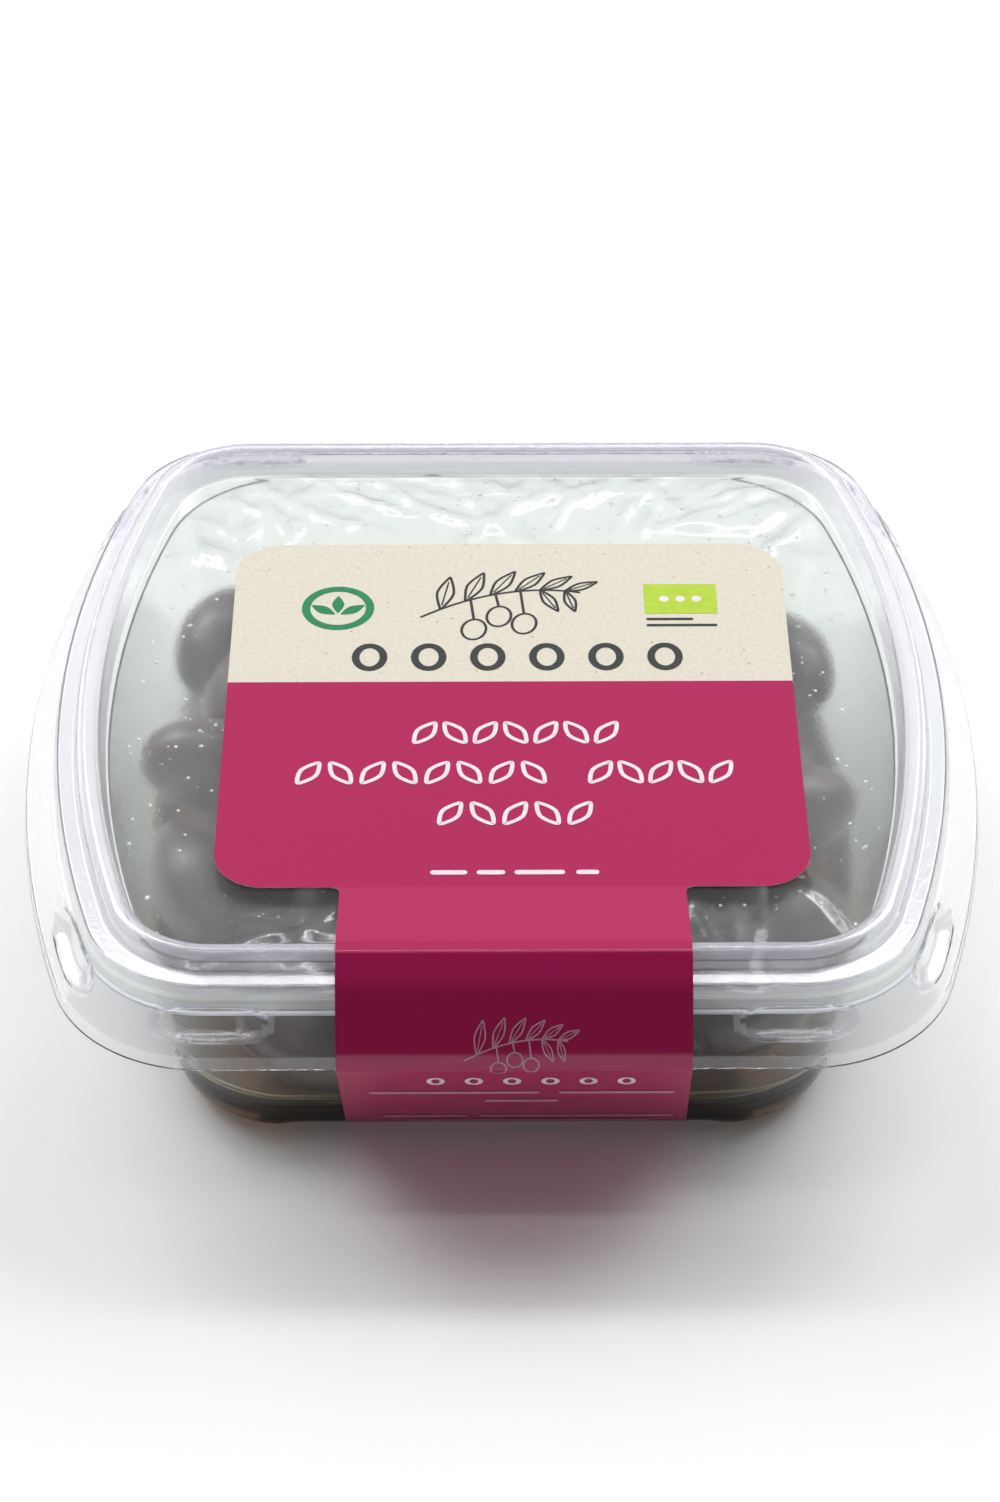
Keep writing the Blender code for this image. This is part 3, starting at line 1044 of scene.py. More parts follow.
@dataclass(frozen=True)
class Ridge:
    """One pucker of the film: a bowed ridge that fades at both ends."""

    start: Vector
    end: Vector
    width: float
    size: float
    bow: float

    def rise(self, x: float, y: float) -> float:
        """How much it lifts the film at a place, from 0 to its size.

        Args:
            x: Distance to the right of the middle.
            y: Distance behind the middle.

        Returns:
            The lift, from 0 to the ridge's size.
        """
        run_x, run_y = self.end.x - self.start.x, self.end.y - self.start.y
        away_x, away_y = x - self.start.x, y - self.start.y
        length = math.hypot(run_x, run_y)
        share = (away_x * run_x + away_y * run_y) / (length * length)
        if not 0.0 < share < 1.0:
            return 0.0
        fade = math.sin(math.pi * share)
        across = (away_y * run_x - away_x * run_y) / length - self.bow * fade
        if abs(across) > 3.0 * self.width:
            return 0.0
        return self.size * math.exp(-((across / self.width) ** 2)) * fade**0.6


@dataclass
class SealFilm:
    """The thin peel film, flat on the flange and puckered where it spans the mouth."""

    pack: Pack
    out: float = 3.9 * MM
    gap: float = 0.3 * MM
    sheet: float = 0.07 * MM
    ring_step: float = 1.1 * MM
    ridge_height: float = 0.85 * MM
    ridge_count: int = 85
    side_share: float = 0.15
    ridge_lean: float = 1.1
    ridge_lengths: Point2 = (14.0 * MM, 36.0 * MM)
    ridge_widths: Point2 = (0.9 * MM, 1.7 * MM)
    ridge_sizes: Point2 = (0.35, 1.0)
    ridge_bow: float = 5.0 * MM
    swell_share: float = 0.55
    stations: Stations = Stations(18, 36, 44, 1.2)
    seed: int = 5

    def ridges(self) -> list[Ridge]:
        """Puckers that start at the mouth's edge, most of them at the back.

        Returns:
            The puckers.
        """
        draw = random.Random(self.seed)
        edge = self.pack.mouth.points(self.stations)
        made = []
        while len(made) < self.ridge_count:
            start = Vector(edge[draw.randrange(len(edge))])
            toward_back = start.y / self.pack.mouth.half_depth
            if draw.random() > max(toward_back, 0.0) ** 2 + self.side_share:
                continue
            inward = -start.normalized()
            lean = Matrix.Rotation(draw.uniform(-self.ridge_lean, self.ridge_lean), 2)
            end = start + (lean @ inward) * draw.uniform(*self.ridge_lengths)
            width = draw.uniform(*self.ridge_widths)
            size = draw.uniform(*self.ridge_sizes)
            made.append(Ridge(start, end, width, size, draw.uniform(-self.ridge_bow, self.ridge_bow)))
        return made

    def lift(self, x: float, y: float, ridges: Sequence[Ridge]) -> float:
        """The film's height above its flat plane at a place.

        Args:
            x: Distance to the right of the middle.
            y: Distance behind the middle.
            ridges: The film's puckers.

        Returns:
            The height, with 0 on the flange.
        """
        if not self.pack.mouth.grown(-0.6 * MM).holds(x, y):
            return 0.0
        height = sum(ridge.rise(x, y) for ridge in ridges)
        swell = noise.noise(Vector((x, y, 0.0)) * 60.0) + 0.5 * noise.noise(Vector((x, y, 7.0)) * 140.0)
        return self.ridge_height * (min(height, 1.4) + self.swell_share * swell)

    def build(self, shop: Workshop, finish: ClearSheet, weld: ClearSheet) -> bpy.types.Object:
        """Build the film as a thin closed sheet, with its welded rim in its own finish.

        Args:
            shop: Where the piece is made.
            finish: Finish over the mouth.
            weld: Finish of the welded rim.

        Returns:
            The film.
        """
        base = self.pack.flange_top + self.gap
        ridges = self.ridges()
        outer = self.pack.bead.grown(self.out, self.pack.corner_tightening)
        inner = self.pack.mouth
        plans = [outer, outer.toward(inner, 0.6), inner]
        steps = int(inner.half_width / self.ring_step) - 1
        for step in range(1, steps):
            plans.append(Plan(*(size * (1.0 - step / steps) for size in vars(inner).values())))
        rings = []
        for plan in plans:
            ring = []
            for x, y in plan.points(self.stations):
                ring.append((x, y + self.pack.middle_y, base + self.lift(x, y, ridges)))
            rings.append(ring)
        bm = extrude_rings(rings, capped=False)
        loose = [edge for edge in bm.edges if edge.is_boundary]
        inner_edges = [edge for edge in loose if edge.verts[0].co.xy.length < 2.0 * self.ring_step]
        bmesh.ops.contextual_create(bm, geom=inner_edges)
        bmesh.ops.recalc_face_normals(bm, faces=bm.faces)
        if sum(face.normal.z for face in bm.faces) < 0.0:
            bmesh.ops.reverse_faces(bm, faces=bm.faces)
        for face in bm.faces:
            middle = face.calc_center_median()
            if not inner.holds(middle.x, middle.y - self.pack.middle_y):
                face.material_index = 1
        bmesh.ops.solidify(bm, geom=bm.faces[:], thickness=self.sheet)
        finishes = [finish.material(), weld.material()]
        return shop.piece(bm, "peel_film", finishes, ["seal_film"], 80.0)


@dataclass
class LabelSheet:
    """The T-shaped label: flat on the panel, over the bead, down to the lip, under the base."""

    UV_NAME = "sheet"

    pack: Pack
    lid: PressLid
    paper: float = 0.14 * MM
    hover: float = 0.05 * MM
    half_width: float = 49.1 * MM
    back_y: float = 45.7 * MM
    front_y: float = -49.6 * MM
    corner: float = 8.5 * MM
    corner_steps: int = 8
    fillet: float = 1.6 * MM
    shift_x: float = 1.6 * MM
    strip_half: float = 28.2 * MM
    skew: float = 1.0 * MM
    end_y: float = -34.0 * MM

    def __post_init__(self) -> None:
        """Work out the folded path and the distance along it of each point."""
        self.path = self.folded_path()
        self.lengths = [0.0]
        for start, end in zip(self.path, self.path[1:]):
            self.lengths.append(self.lengths[-1] + math.dist(start, end))

    def folded_path(self) -> list[Point2]:
        """The label's lower face in section, from the back edge to its end under the base.

        Returns:
            The path as places in section.
        """
        lid, top = self.lid, self.pack.rim_top
        front = -self.pack.bead.half_depth
        panel = top - lid.panel_depth
        radius, lift = self.pack.edge_radius, self.pack.foot_lift
        wall_y = -self.pack.wall(radius, 0.0).half_depth
        foot_y = -self.pack.base.half_depth
        bends = (
            (self.back_y, panel, 0.0),
            (self.front_y, panel, 2.2 * MM),
            (front + lid.bead_width - 1.0 * MM, top, 1.5 * MM),
            (front + 0.5 * MM, top, 0.9 * MM),
            (front - lid.ledge_out - 0.2 * MM, top - lid.ledge_depth - 0.4 * MM, 9.0 * MM),
            (front - lid.slope_end[0] - 0.3 * MM, top - lid.slope_end[1], 9.0 * MM),
            (front - lid.lip_out - 0.05 * MM, top - lid.lip_depth - 0.05 * MM, 0.35 * MM),
            (wall_y, radius, 3.0 * MM),
            (foot_y + 0.3 * radius, 0.55 * lift + 0.25 * radius, 2.0 * MM),
            (foot_y + radius, lift, 2.0 * MM),
            (self.end_y, lift, 0.0),
        )
        line = rounded([(y + self.pack.middle_y, z, bend) for y, z, bend in bends], 6)
        return skin_offset(held(line, 0.4 * MM, 6.0 * MM), self.hover)

    def bent(self, x: float, along: float, lift: float) -> Vector:
        """A place on the folded label.

        Args:
            x: Distance to the right of the label's middle line.
            along: Distance from the back edge along the path.
            lift: Height above the paper's lower face.

        Returns:
            The place in the frame.
        """
        index = 0
        while index < len(self.lengths) - 2 and along > self.lengths[index + 1]:
            index += 1
        start, end = Vector(self.path[index]), Vector(self.path[index + 1])
        run = (end - start).normalized()
        spot = start + run * (along - self.lengths[index]) + Vector((run.y, -run.x)) * lift
        lip = self.lip_length()
        slide = self.skew * max(along - lip, 0.0) / (self.lengths[-1] - lip)
        return Vector((self.shift_x + x + slide, spot.x, spot.y))

    def lip_length(self) -> float:
        """The distance along the path at which the paper leaves the lid's lip.

        Returns:
            The distance from the back edge.
        """
        lowest = self.pack.rim_top - self.lid.lip_depth
        for place, length in zip(self.path, self.lengths):
            if place[1] <= lowest and place[0] < 0.0:
                return length
        return self.lengths[-1]

    def outline(self) -> list[Point2]:
        """The flat T with its round corners, as distances right and along.

        Returns:
            The corners of the flat sheet.
        """
        front = self.back_y - self.front_y
        across = self.half_width - self.corner
        quarter = [0.5 * math.pi * step / self.corner_steps for step in range(self.corner_steps + 1)]
        right = []
        for turn, along in ((-0.5 * math.pi, self.corner), (0.0, front - self.corner)):
            for angle in quarter:
                out, on = math.cos(angle + turn), math.sin(angle + turn)
                right.append((across + self.corner * out, along + self.corner * on))
        inner = (self.strip_half + self.fillet, front + self.fillet)
        for angle in quarter:
            right.append((inner[0] - self.fillet * math.sin(angle), inner[1] - self.fillet * math.cos(angle)))
        right.append((self.strip_half, self.lengths[-1]))
        return right + [(-x, along) for x, along in reversed(right)]

    def fold(self, bm: bmesh.types.BMesh, lift: float, mapped: bool = False) -> None:
        """Cut a flat mesh across at the path's points and bend it onto the path.

        Args:
            bm: The flat mesh, with distances right and along.
            lift: Height of the mesh above the paper's lower face.
            mapped: Whether the flat places are kept as a UV map.
        """
        low = min(vertex.co.y for vertex in bm.verts)
        high = max(vertex.co.y for vertex in bm.verts)
        for along in self.lengths[1:-1]:
            if low < along < high:
                bmesh.ops.bisect_plane(
                    bm,
                    geom=list(bm.verts) + list(bm.edges) + list(bm.faces),
                    plane_co=(0.0, along, 0.0),
                    plane_no=(0.0, 1.0, 0.0),
                    dist=1e-7,
                )
        if mapped:
            uv = bm.loops.layers.uv.new(self.UV_NAME)
            for face in bm.faces:
                for loop in face.loops:
                    loop[uv].uv = loop.vert.co.xy
        for vertex in bm.verts:
            vertex.co = self.bent(vertex.co.x, vertex.co.y, lift + vertex.co.z)

    def build(self, shop: Workshop, finish: LabelPaper, back: FlatInk) -> bpy.types.Object:
        """Build the printed sheet with its plain back.

        Args:
            shop: Where the piece is made.
            finish: The printed paper.
            back: Finish of its back and edges.

        Returns:
            The label.
        """
        bm = bmesh.new()
        corners = [bm.verts.new((x, along, 0.0)) for x, along in self.outline()]
        bmesh.ops.contextual_create(bm, geom=corners)
        self.fold(bm, self.paper, mapped=True)
        face_up(bm, self)
        printed = set(bm.faces)
        bmesh.ops.solidify(bm, geom=bm.faces[:], thickness=self.paper)
        for face in bm.faces:
            face.material_index = 0 if face in printed else 1
        finishes = [finish.material(), back.material()]
        return shop.piece(bm, "paper_label", finishes, ["label"], 50.0)


def face_up(bm: bmesh.types.BMesh, sheet: LabelSheet) -> None:
    """Turn every face of a folded sheet so that its printed side faces out.

    Args:
        bm: The folded mesh.
        sheet: The label that it lies on.
    """
    bmesh.ops.recalc_face_normals(bm, faces=bm.faces)
    flat = max(bm.faces, key=lambda face: abs(face.normal.z) * face.calc_area())
    if flat.normal.z * (1.0 if flat.calc_center_median().z > 0.5 * sheet.pack.rim_top else -1.0) < 0.0:
        bmesh.ops.reverse_faces(bm, faces=bm.faces)


class Ink(Enum):
    """The inks of the print."""

    WHITE = "white_ink"
    PALE = "pale_pink_ink"
    DARK = "charcoal_ink"
    GREEN = "leaf_green_ink"
    LIME = "lime_green_ink"


@dataclass
class Print:
    """Plain ornaments on the label: bars, leaf garlands, a sprig, rings and fields of colour."""

    sheet: LabelSheet
    raise_by: float = 0.02 * MM
    step_up: float = 0.0006 * MM
    shapes: int = 0
    layers: dict[Ink, bmesh.types.BMesh] = field(default_factory=dict)

    def layer(self, ink: Ink) -> bmesh.types.BMesh:
        """The flat mesh of one ink.

        Args:
            ink: The ink.

        Returns:
            Its mesh, made when it is first asked for.
        """
        if ink not in self.layers:
            self.layers[ink] = bmesh.new()
        return self.layers[ink]

    def next_height(self) -> float:
        """The height of the next shape: a trace above the last one, so that overlaps stay clean."""
        self.shapes += 1
        return self.shapes * self.step_up

    def polygon(self, ink: Ink, points: Iterable[Point2]) -> None:
        """Add a filled shape.

        Args:
            ink: The ink.
            points: The shape's corners in turn.
        """
        bm = self.layer(ink)
        high = self.next_height()
        bmesh.ops.contextual_create(bm, geom=[bm.verts.new((x, y, high)) for x, y in points])

    def bar(self, ink: Ink, left: float, right: float, along: float, height: float) -> None:
        """Add a round-ended bar.

        Args:
            ink: The ink.
            left: The bar's left end.
            right: Its right end.
            along: Its distance from the label's back edge.
            height: How tall it is.
        """
        radius = 0.5 * height
        points = []
        for middle, start in ((right - radius, -90.0), (left + radius, 90.0)):
            for step in range(9):
                angle = math.radians(start + 22.5 * step)
                points.append((middle + radius * math.cos(angle), along + radius * math.sin(angle)))
        self.polygon(ink, points)

    def stroke(self, ink: Ink, line: Sequence[Point2], width: float, closed: bool = False) -> None:
        """Add a line of even width as a strip of faces.

        Args:
            ink: The ink.
            line: The points of the line's middle.
            width: Its width.
            closed: Whether its end meets its start.
        """
        bm = self.layer(ink)
        high = self.next_height()
        count = len(line)
        pairs = []
        for index, point in enumerate(line):
            before = line[index - 1] if closed or index > 0 else point
            after = line[(index + 1) % count] if closed or index < count - 1 else point
            run = Vector((after[0] - before[0], after[1] - before[1])).normalized()
            aside = Vector((-run.y, run.x)) * 0.5 * width
            edges = (Vector(point) + aside, Vector(point) - aside)
            pairs.append([bm.verts.new((edge.x, edge.y, high)) for edge in edges])
        for index in range(count if closed else count - 1):
            near, far = pairs[index], pairs[(index + 1) % count]
            bmesh.ops.contextual_create(bm, geom=[near[0], near[1], far[1], far[0]])

    def oval(
        self, middle: Point2, size: Point2, turn: float = 0.0, tip: float = 0.0, steps: int = 24
    ) -> list[Point2]:
        """Points of an oval.

        Args:
            middle: Its middle.
            size: Its length and width.
            turn: How far it is turned, in radians.
            tip: How far it is drawn out to a pointed leaf, from 0 to 1.
            steps: How many points it has.

        Returns:
            The points, anticlockwise.
        """
        points = []
        for step in range(steps):
            angle = 2.0 * math.pi * step / steps
            x = 0.5 * size[0] * math.cos(angle)
            y = 0.5 * size[1] * math.sin(angle) * (1.0 - tip * abs(math.cos(angle)) ** 1.5)
            points.append(
                (
                    middle[0] + x * math.cos(turn) - y * math.sin(turn),
                    middle[1] + x * math.sin(turn) + y * math.cos(turn),
                )
            )
        return points

    def sprig(self, ink: Ink, middle: Point2, size: Point2, width: float) -> None:
        """Add an olive sprig in line work: a bowed stem, leaves above and below it, three fruits.

        Args:
            ink: The ink.
            middle: The sprig's middle.
            size: Its length and height.
            width: Width of the lines.
        """
        stem = []
        for step in range(33):
            share = step / 32
            bow = 0.34 - 0.95 * share + 0.62 * share * share
            stem.append((middle[0] + size[0] * (share - 0.52), middle[1] + size[1] * bow))
        self.stroke(ink, stem, width)
        leaf = (0.34 * size[0], 0.105 * size[0])
        for number in range(6):
            at = stem[4 + 5 * number]
            shrink = 1.0 - 0.07 * number
            for side in (-1, 1):
                if side > 0 and number < 4:
                    continue
                turn = math.radians(-30.0 + 11.0 * number + side * 50.0)
                blade = (leaf[0] * shrink, leaf[1] * shrink)
                base, spot, tip = (
                    (at[0] + part * blade[0] * math.cos(turn), at[1] + part * blade[0] * math.sin(turn))
                    for part in (0.12, 0.5, 0.85)
                )
                self.stroke(ink, self.oval(spot, blade, turn, 0.7), width, True)
                self.stroke(ink, [base, tip], 0.6 * width)
        for index, drop in ((10, 0.40), (15, 0.30), (20, 0.44)):
            fruit = (stem[index][0] + 0.02 * size[0], stem[index][1] + drop * size[1])
            self.stroke(ink, [stem[index], (fruit[0], fruit[1] - 0.13 * size[1])], width)
            self.stroke(ink, self.oval(fruit, (0.15 * size[0], 0.27 * size[1]), 0.15), width, True)

    def garland(self, ink: Ink, left: float, right: float, along: float, height: float, width: float) -> None:
        """Add a row of leaves that lean to and fro.

        Args:
            ink: The ink.
            left: The row's left end.
            right: Its right end.
            along: Its distance from the label's back edge.
            height: Length of a leaf.
            width: Width of the lines.
        """
        count = max(round((right - left) / (0.8 * height)), 2)
        pitch = (right - left) / count
        for index in range(count):
            turn = math.radians(58.0 if index % 2 else -58.0)
            middle = (left + pitch * (index + 0.5), along)
            self.stroke(ink, self.oval(middle, (height, 0.46 * height), turn, 0.55), width, True)

    def ring(self, ink: Ink, middle: Point2, size: float, width: float) -> None:
        """Add a round ring."""
        self.stroke(ink, self.oval(middle, (size - width, size - width), steps=48), width, True)

    def lay_out(self) -> None:
        """Place every ornament, in distances right of the middle line and from the back edge."""
        self.sprig(Ink.DARK, (-1.0 * MM, 14.6 * MM), (28.5 * MM, 22.0 * MM), 0.5 * MM)
        for index in range(6):
            middle = ((-24.6 + 10.35 * index) * MM, 33.7 * MM)
            self.stroke(Ink.DARK, self.oval(middle, (4.9 * MM, 6.6 * MM)), 1.35 * MM, True)
        self.ring(Ink.GREEN, (-30.5 * MM, 19.3 * MM), 12.9 * MM, 1.5 * MM)
        for turn in (-1.0, 0.0, 1.0):
            spot = (-30.5 * MM + 3.1 * MM * math.sin(turn), 21.6 * MM - 3.4 * MM * math.cos(turn))
            self.polygon(Ink.GREEN, self.oval(spot, (5.0 * MM, 2.2 * MM), turn - 0.5 * math.pi, 0.6))
        field_corners = ((24.0, 12.4), (37.0, 12.4), (37.0, 21.2), (24.0, 21.2))
        self.polygon(Ink.LIME, [(x * MM, y * MM) for x, y in field_corners])
        for index in range(3):
            self.polygon(Ink.WHITE, self.oval(((27.6 + 2.9 * index) * MM, 16.8 * MM), (1.7 * MM, 1.7 * MM)))
        self.bar(Ink.DARK, 24.2 * MM, 32.6 * MM, 22.8 * MM, 0.7 * MM)
        self.bar(Ink.DARK, 24.2 * MM, 36.8 * MM, 24.6 * MM, 0.7 * MM)
        for left, right, along in (
            (-17.3, 18.9, 55.0),
            (-37.0, 6.5, 65.8),
            (12.5, 37.9, 65.8),
            (-13.0, 14.1, 76.6),
        ):
            self.garland(Ink.WHITE, left * MM, right * MM, along * MM, 6.4 * MM, 0.75 * MM)
        for left, right in ((-13.5, -7.4), (-5.9, -1.2), (0.3, 8.6), (10.4, 14.2)):
            self.bar(Ink.WHITE, left * MM, right * MM, 91.7 * MM, 1.1 * MM)
        lip = self.sheet.lip_length()
        self.sprig(Ink.PALE, (0.6 * MM, lip - 5.2 * MM), (16.5 * MM, 9.6 * MM), 0.26 * MM)
        for index in range(6):
            middle = ((-12.6 + 6.1 * index) * MM, lip + 6.0 * MM)
            self.stroke(Ink.WHITE, self.oval(middle, (2.2 * MM, 3.6 * MM), steps=16), 0.75 * MM, True)
        for left, right, along, height in (
            (-23.6, 4.0, 13.3, 1.3),
            (7.0, 25.8, 13.3, 1.3),
            (-5.0, 7.0, 18.6, 1.3),
            (-22.0, -8.0, 28.6, 1.0),
            (-6.0, 26.0, 28.6, 1.0),
            (-18.0, 22.0, 31.6, 1.0),
            (-20.0, 24.0, 42.0, 1.0),
            (-20.0, 18.0, 45.5, 1.0),
            (-20.0, 22.0, 49.0, 1.0),
        ):
            self.bar(Ink.PALE, left * MM, right * MM, lip + along * MM, height * MM)

    def build(self, shop: Workshop, inks: dict[Ink, FlatInk]) -> None:
        """Fold every ink layer onto the label.

        Args:
            shop: Where the pieces are made.
            inks: The finish of each ink.
        """
        self.lay_out()
        for ink, bm in self.layers.items():
            self.sheet.fold(bm, self.sheet.paper + self.raise_by)
            bmesh.ops.recalc_face_normals(bm, faces=bm.faces)
            for face in bm.faces:
                middle = face.calc_center_median()
                away = middle - Vector((middle.x, 0.0, 0.6 * self.sheet.pack.rim_top))
                if face.normal.dot(away) < 0.0:
                    face.normal_flip()
            bmesh.ops.solidify(bm, geom=bm.faces[:], thickness=0.8 * self.raise_by)
            shop.piece(bm, f"print_{ink.value}", [inks[ink].material()])


@dataclass(frozen=True)
class Olive:
    """Where one olive lies and how large it is."""

    middle: Vector
    turn: float
    tilt: float
    length: float
    diameter: float


@dataclass
class OliveHeap:
    """Pitted olives that fell one by one into the tub."""

    pack: Pack
    count: int = 48
    length: float = 26.0 * MM
    length_shares: Point2 = (0.88, 1.08)
    diameter: float = 16.5 * MM
    diameter_shares: Point2 = (0.92, 1.06)
    largest_tilt: float = 0.35
    balls: tuple[Point2, ...] = ((-1.0, 0.92), (0.0, 1.0), (1.0, 0.92))
    seed: int = 70
    tries: int = 140
    contact: float = 0.93
    content_gap: float = 0.5 * MM
    around: int = 36
    lines: int = 22
    taper: float = 0.22
    pit_radius: float = 2.1 * MM
    pit_depth: float = 2.6 * MM
    tip_height: float = 0.7 * MM
    lumps: float = 0.035
    creases: float = 0.012

    def room_at(self, height: float, margin: float) -> Plan:
        """The room for olives at a height: the wall's reach with the base's round corners.

        Args:
            height: Height above the base.
            margin: Distance kept from the wall's outer face.

        Returns:
            The outline of the room.
        """
        wall, base = self.pack.wall(height, margin), self.pack.base.grown(-margin)
        corner = max(base.corner_radius, 1.0 * MM)
        return replace(wall, side_radius=base.side_radius, corner_radius=corner)

    def dropped(self) -> list[Olive]:
        """Drop each olive into the lowest of many tried places, as three balls on its axis.

        Returns:
            The olives in the order in which they fell.
        """
        draw = random.Random(self.seed)
        pack = self.pack
        floor = pack.foot_lift + pack.solid_wall + self.content_gap
        lying: list[tuple[Vector, float]] = []
        olives = []
        for _ in range(self.count):
            length = self.length * draw.uniform(*self.length_shares)
            diameter = self.diameter * draw.uniform(*self.diameter_shares)
            radius = 0.5 * diameter
            best = None
            for _ in range(self.tries):
                x = draw.uniform(-pack.mouth.half_width, pack.mouth.half_width)
                y = draw.uniform(-pack.mouth.half_depth, pack.mouth.half_depth)
                turn = draw.uniform(0.0, math.pi)
                tilt = draw.uniform(-self.largest_tilt, self.largest_tilt)
                reach = 0.5 * length - radius
                level = math.cos(tilt)
                axis = Vector((math.cos(turn) * level, math.sin(turn) * level, math.sin(tilt)))
                spots = [(axis * reach * part, radius * size) for part, size in self.balls]
                height = max(floor + size - offset.z for offset, size in spots)
                for offset, size in spots:
                    for ball, other in lying:
                        flat = math.hypot(x + offset.x - ball.x, y + offset.y - ball.y)
                        total = (size + other) * self.contact
                        if flat < total:
                            height = max(height, ball.z + math.sqrt(total * total - flat * flat) - offset.z)
                gap = pack.solid_wall + self.content_gap
                fits = all(
                    self.room_at(height + offset.z, size + gap).holds(x + offset.x, y + offset.y)
                    for offset, size in spots
                )
                if fits and (best is None or height < best[0]):
                    best = (height, x, y, turn, tilt, spots)
            if best is None:
                continue
            height, x, y, turn, tilt, spots = best
            middle = Vector((x, y, height))
            lying.extend((middle + offset, size) for offset, size in spots)
            olives.append(Olive(middle, turn, tilt, length, diameter))
        return olives

    def one(self, bm: bmesh.types.BMesh, olive: Olive, number: int) -> None:
        """Add one olive: an oval with a narrow tip, a pit hole and a slightly uneven skin.

        Args:
            bm: The mesh that gets it.
            olive: Its place and size.
            number: Its number, which picks its unevenness.
        """
        made = bmesh.ops.create_uvsphere(
            bm, u_segments=self.around, v_segments=self.lines, radius=0.5
        )["verts"]
        hole = self.pit_radius / (0.5 * olive.diameter)
        for vertex in made:
            flat = vertex.co.copy()
            across = olive.diameter * (1.0 - self.taper * max(flat.z, 0.0))
            out = math.hypot(flat.x, flat.y) / 0.5
            place = Vector((flat.x * across, flat.y * across, flat.z * olive.length))
            if flat.z < 0.0:
                place.z += self.pit_depth * (1.0 - smoothstep(0.75 * hole, 1.25 * hole, out))
            else:
                place.z += self.tip_height * max(1.0 - 4.0 * out, 0.0)
            uneven = noise.noise(place * 130.0 + Vector((number * 3.1, 0.0, 0.0)))
            crease = noise.noise(Vector((place.x * 420.0, place.y * 420.0, place.z * 60.0 + number)))
            place *= 1.0 + self.lumps * uneven + self.creases * crease
            vertex.co = place
        lay_down = Matrix.Rotation(math.pi / 2, 4, "Y")
        place = (
            Matrix.Translation(olive.middle + Vector((0.0, self.pack.middle_y, 0.0)))
            @ Matrix.Rotation(olive.turn, 4, "Z")
            @ Matrix.Rotation(-olive.tilt, 4, "Y")
            @ lay_down
        )
        bmesh.ops.transform(bm, matrix=place, verts=made)

    def build(self, shop: Workshop, finish: OliveSkin) -> bpy.types.Object:
        """Build all olives as one mesh.

        Args:
            shop: Where the piece is made.
            finish: The skin.

        Returns:
            The olives.
        """
        bm = bmesh.new()
        for number, olive in enumerate(self.dropped()):
            self.one(bm, olive, number)
        return shop.piece(bm, "dark_olives", [finish.material()], ["olives"], 75.0)


@dataclass
class Oil:
    """The oil at the bottom of the tub, with a wavy edge where it clings to the wall."""

    pack: Pack
    tub: ClearTub
    level: float = 9.6 * MM
    wave: float = 0.9 * MM
    climb: float = 0.4 * MM
    into_wall: float = 0.25 * MM
    edge_steps: int = 6
    surface: tuple[Point2, ...] = (
        (0.5 * MM, 0.55),
        (1.2 * MM, 0.2),
        (2.5 * MM, 0.05),
        (5.0 * MM, 0.0),
        (14.0 * MM, 0.0),
    )

    def edge_height(self, x: float, y: float) -> float:
        """How high the oil stands at the wall: it climbs at the corners.

        Args:
            x: Distance to the right of the middle.
            y: Distance behind the middle.

        Returns:
            The height above the base.
        """
        middle_x, middle_y = self.pack.base.corner_middle()
        near_side = smoothstep(-8.0 * MM, 14.0 * MM, abs(x) - middle_x)
        near_end = smoothstep(-14.0 * MM, 8.0 * MM, abs(y) - middle_y)
        corner = near_side * near_end
        ripple = noise.noise(Vector((x * 70.0, y * 70.0, 2.0)))
        return self.level + self.climb * corner + self.wave * ripple

    def build(self, shop: Workshop, finish: OilyLiquid) -> bpy.types.Object:
        """Build the oil as one closed body that reaches just into the wall.

        Args:
            shop: Where the piece is made.
            finish: The liquid.

        Returns:
            The oil.
        """
        pack = self.pack
        radius = pack.edge_radius
        floor = pack.foot_lift + self.tub.sheet - self.into_wall
        inset = self.tub.sheet - self.into_wall
        rings = []
        for step in range(self.edge_steps + 1):
            height = radius * (1.0 - math.cos(0.5 * math.pi * step / self.edge_steps))
            plan = pack.wall(floor + height, inset + pack.edge_inset(height, radius))
            rings.append([(x, y, floor + height) for x, y in pack.placed(plan)])
        rim = pack.wall(self.level, inset)
        for step in (0.5, 1.0):
            ring = []
            for x, y in pack.placed(rim):
                ring.append((x, y, floor + radius + (self.edge_height(x, y) - floor - radius) * step))
            rings.append(ring)
        for inward, share in self.surface:
            ring = []
            for x, y in pack.placed(rim.grown(-inward)):
                ring.append((x, y, self.level + (self.edge_height(x, y) - self.level) * share))
            rings.append(ring)
        bm = extrude_rings(rings)
        return shop.piece(bm, "olive_oil", [finish.material()], (), 60.0)


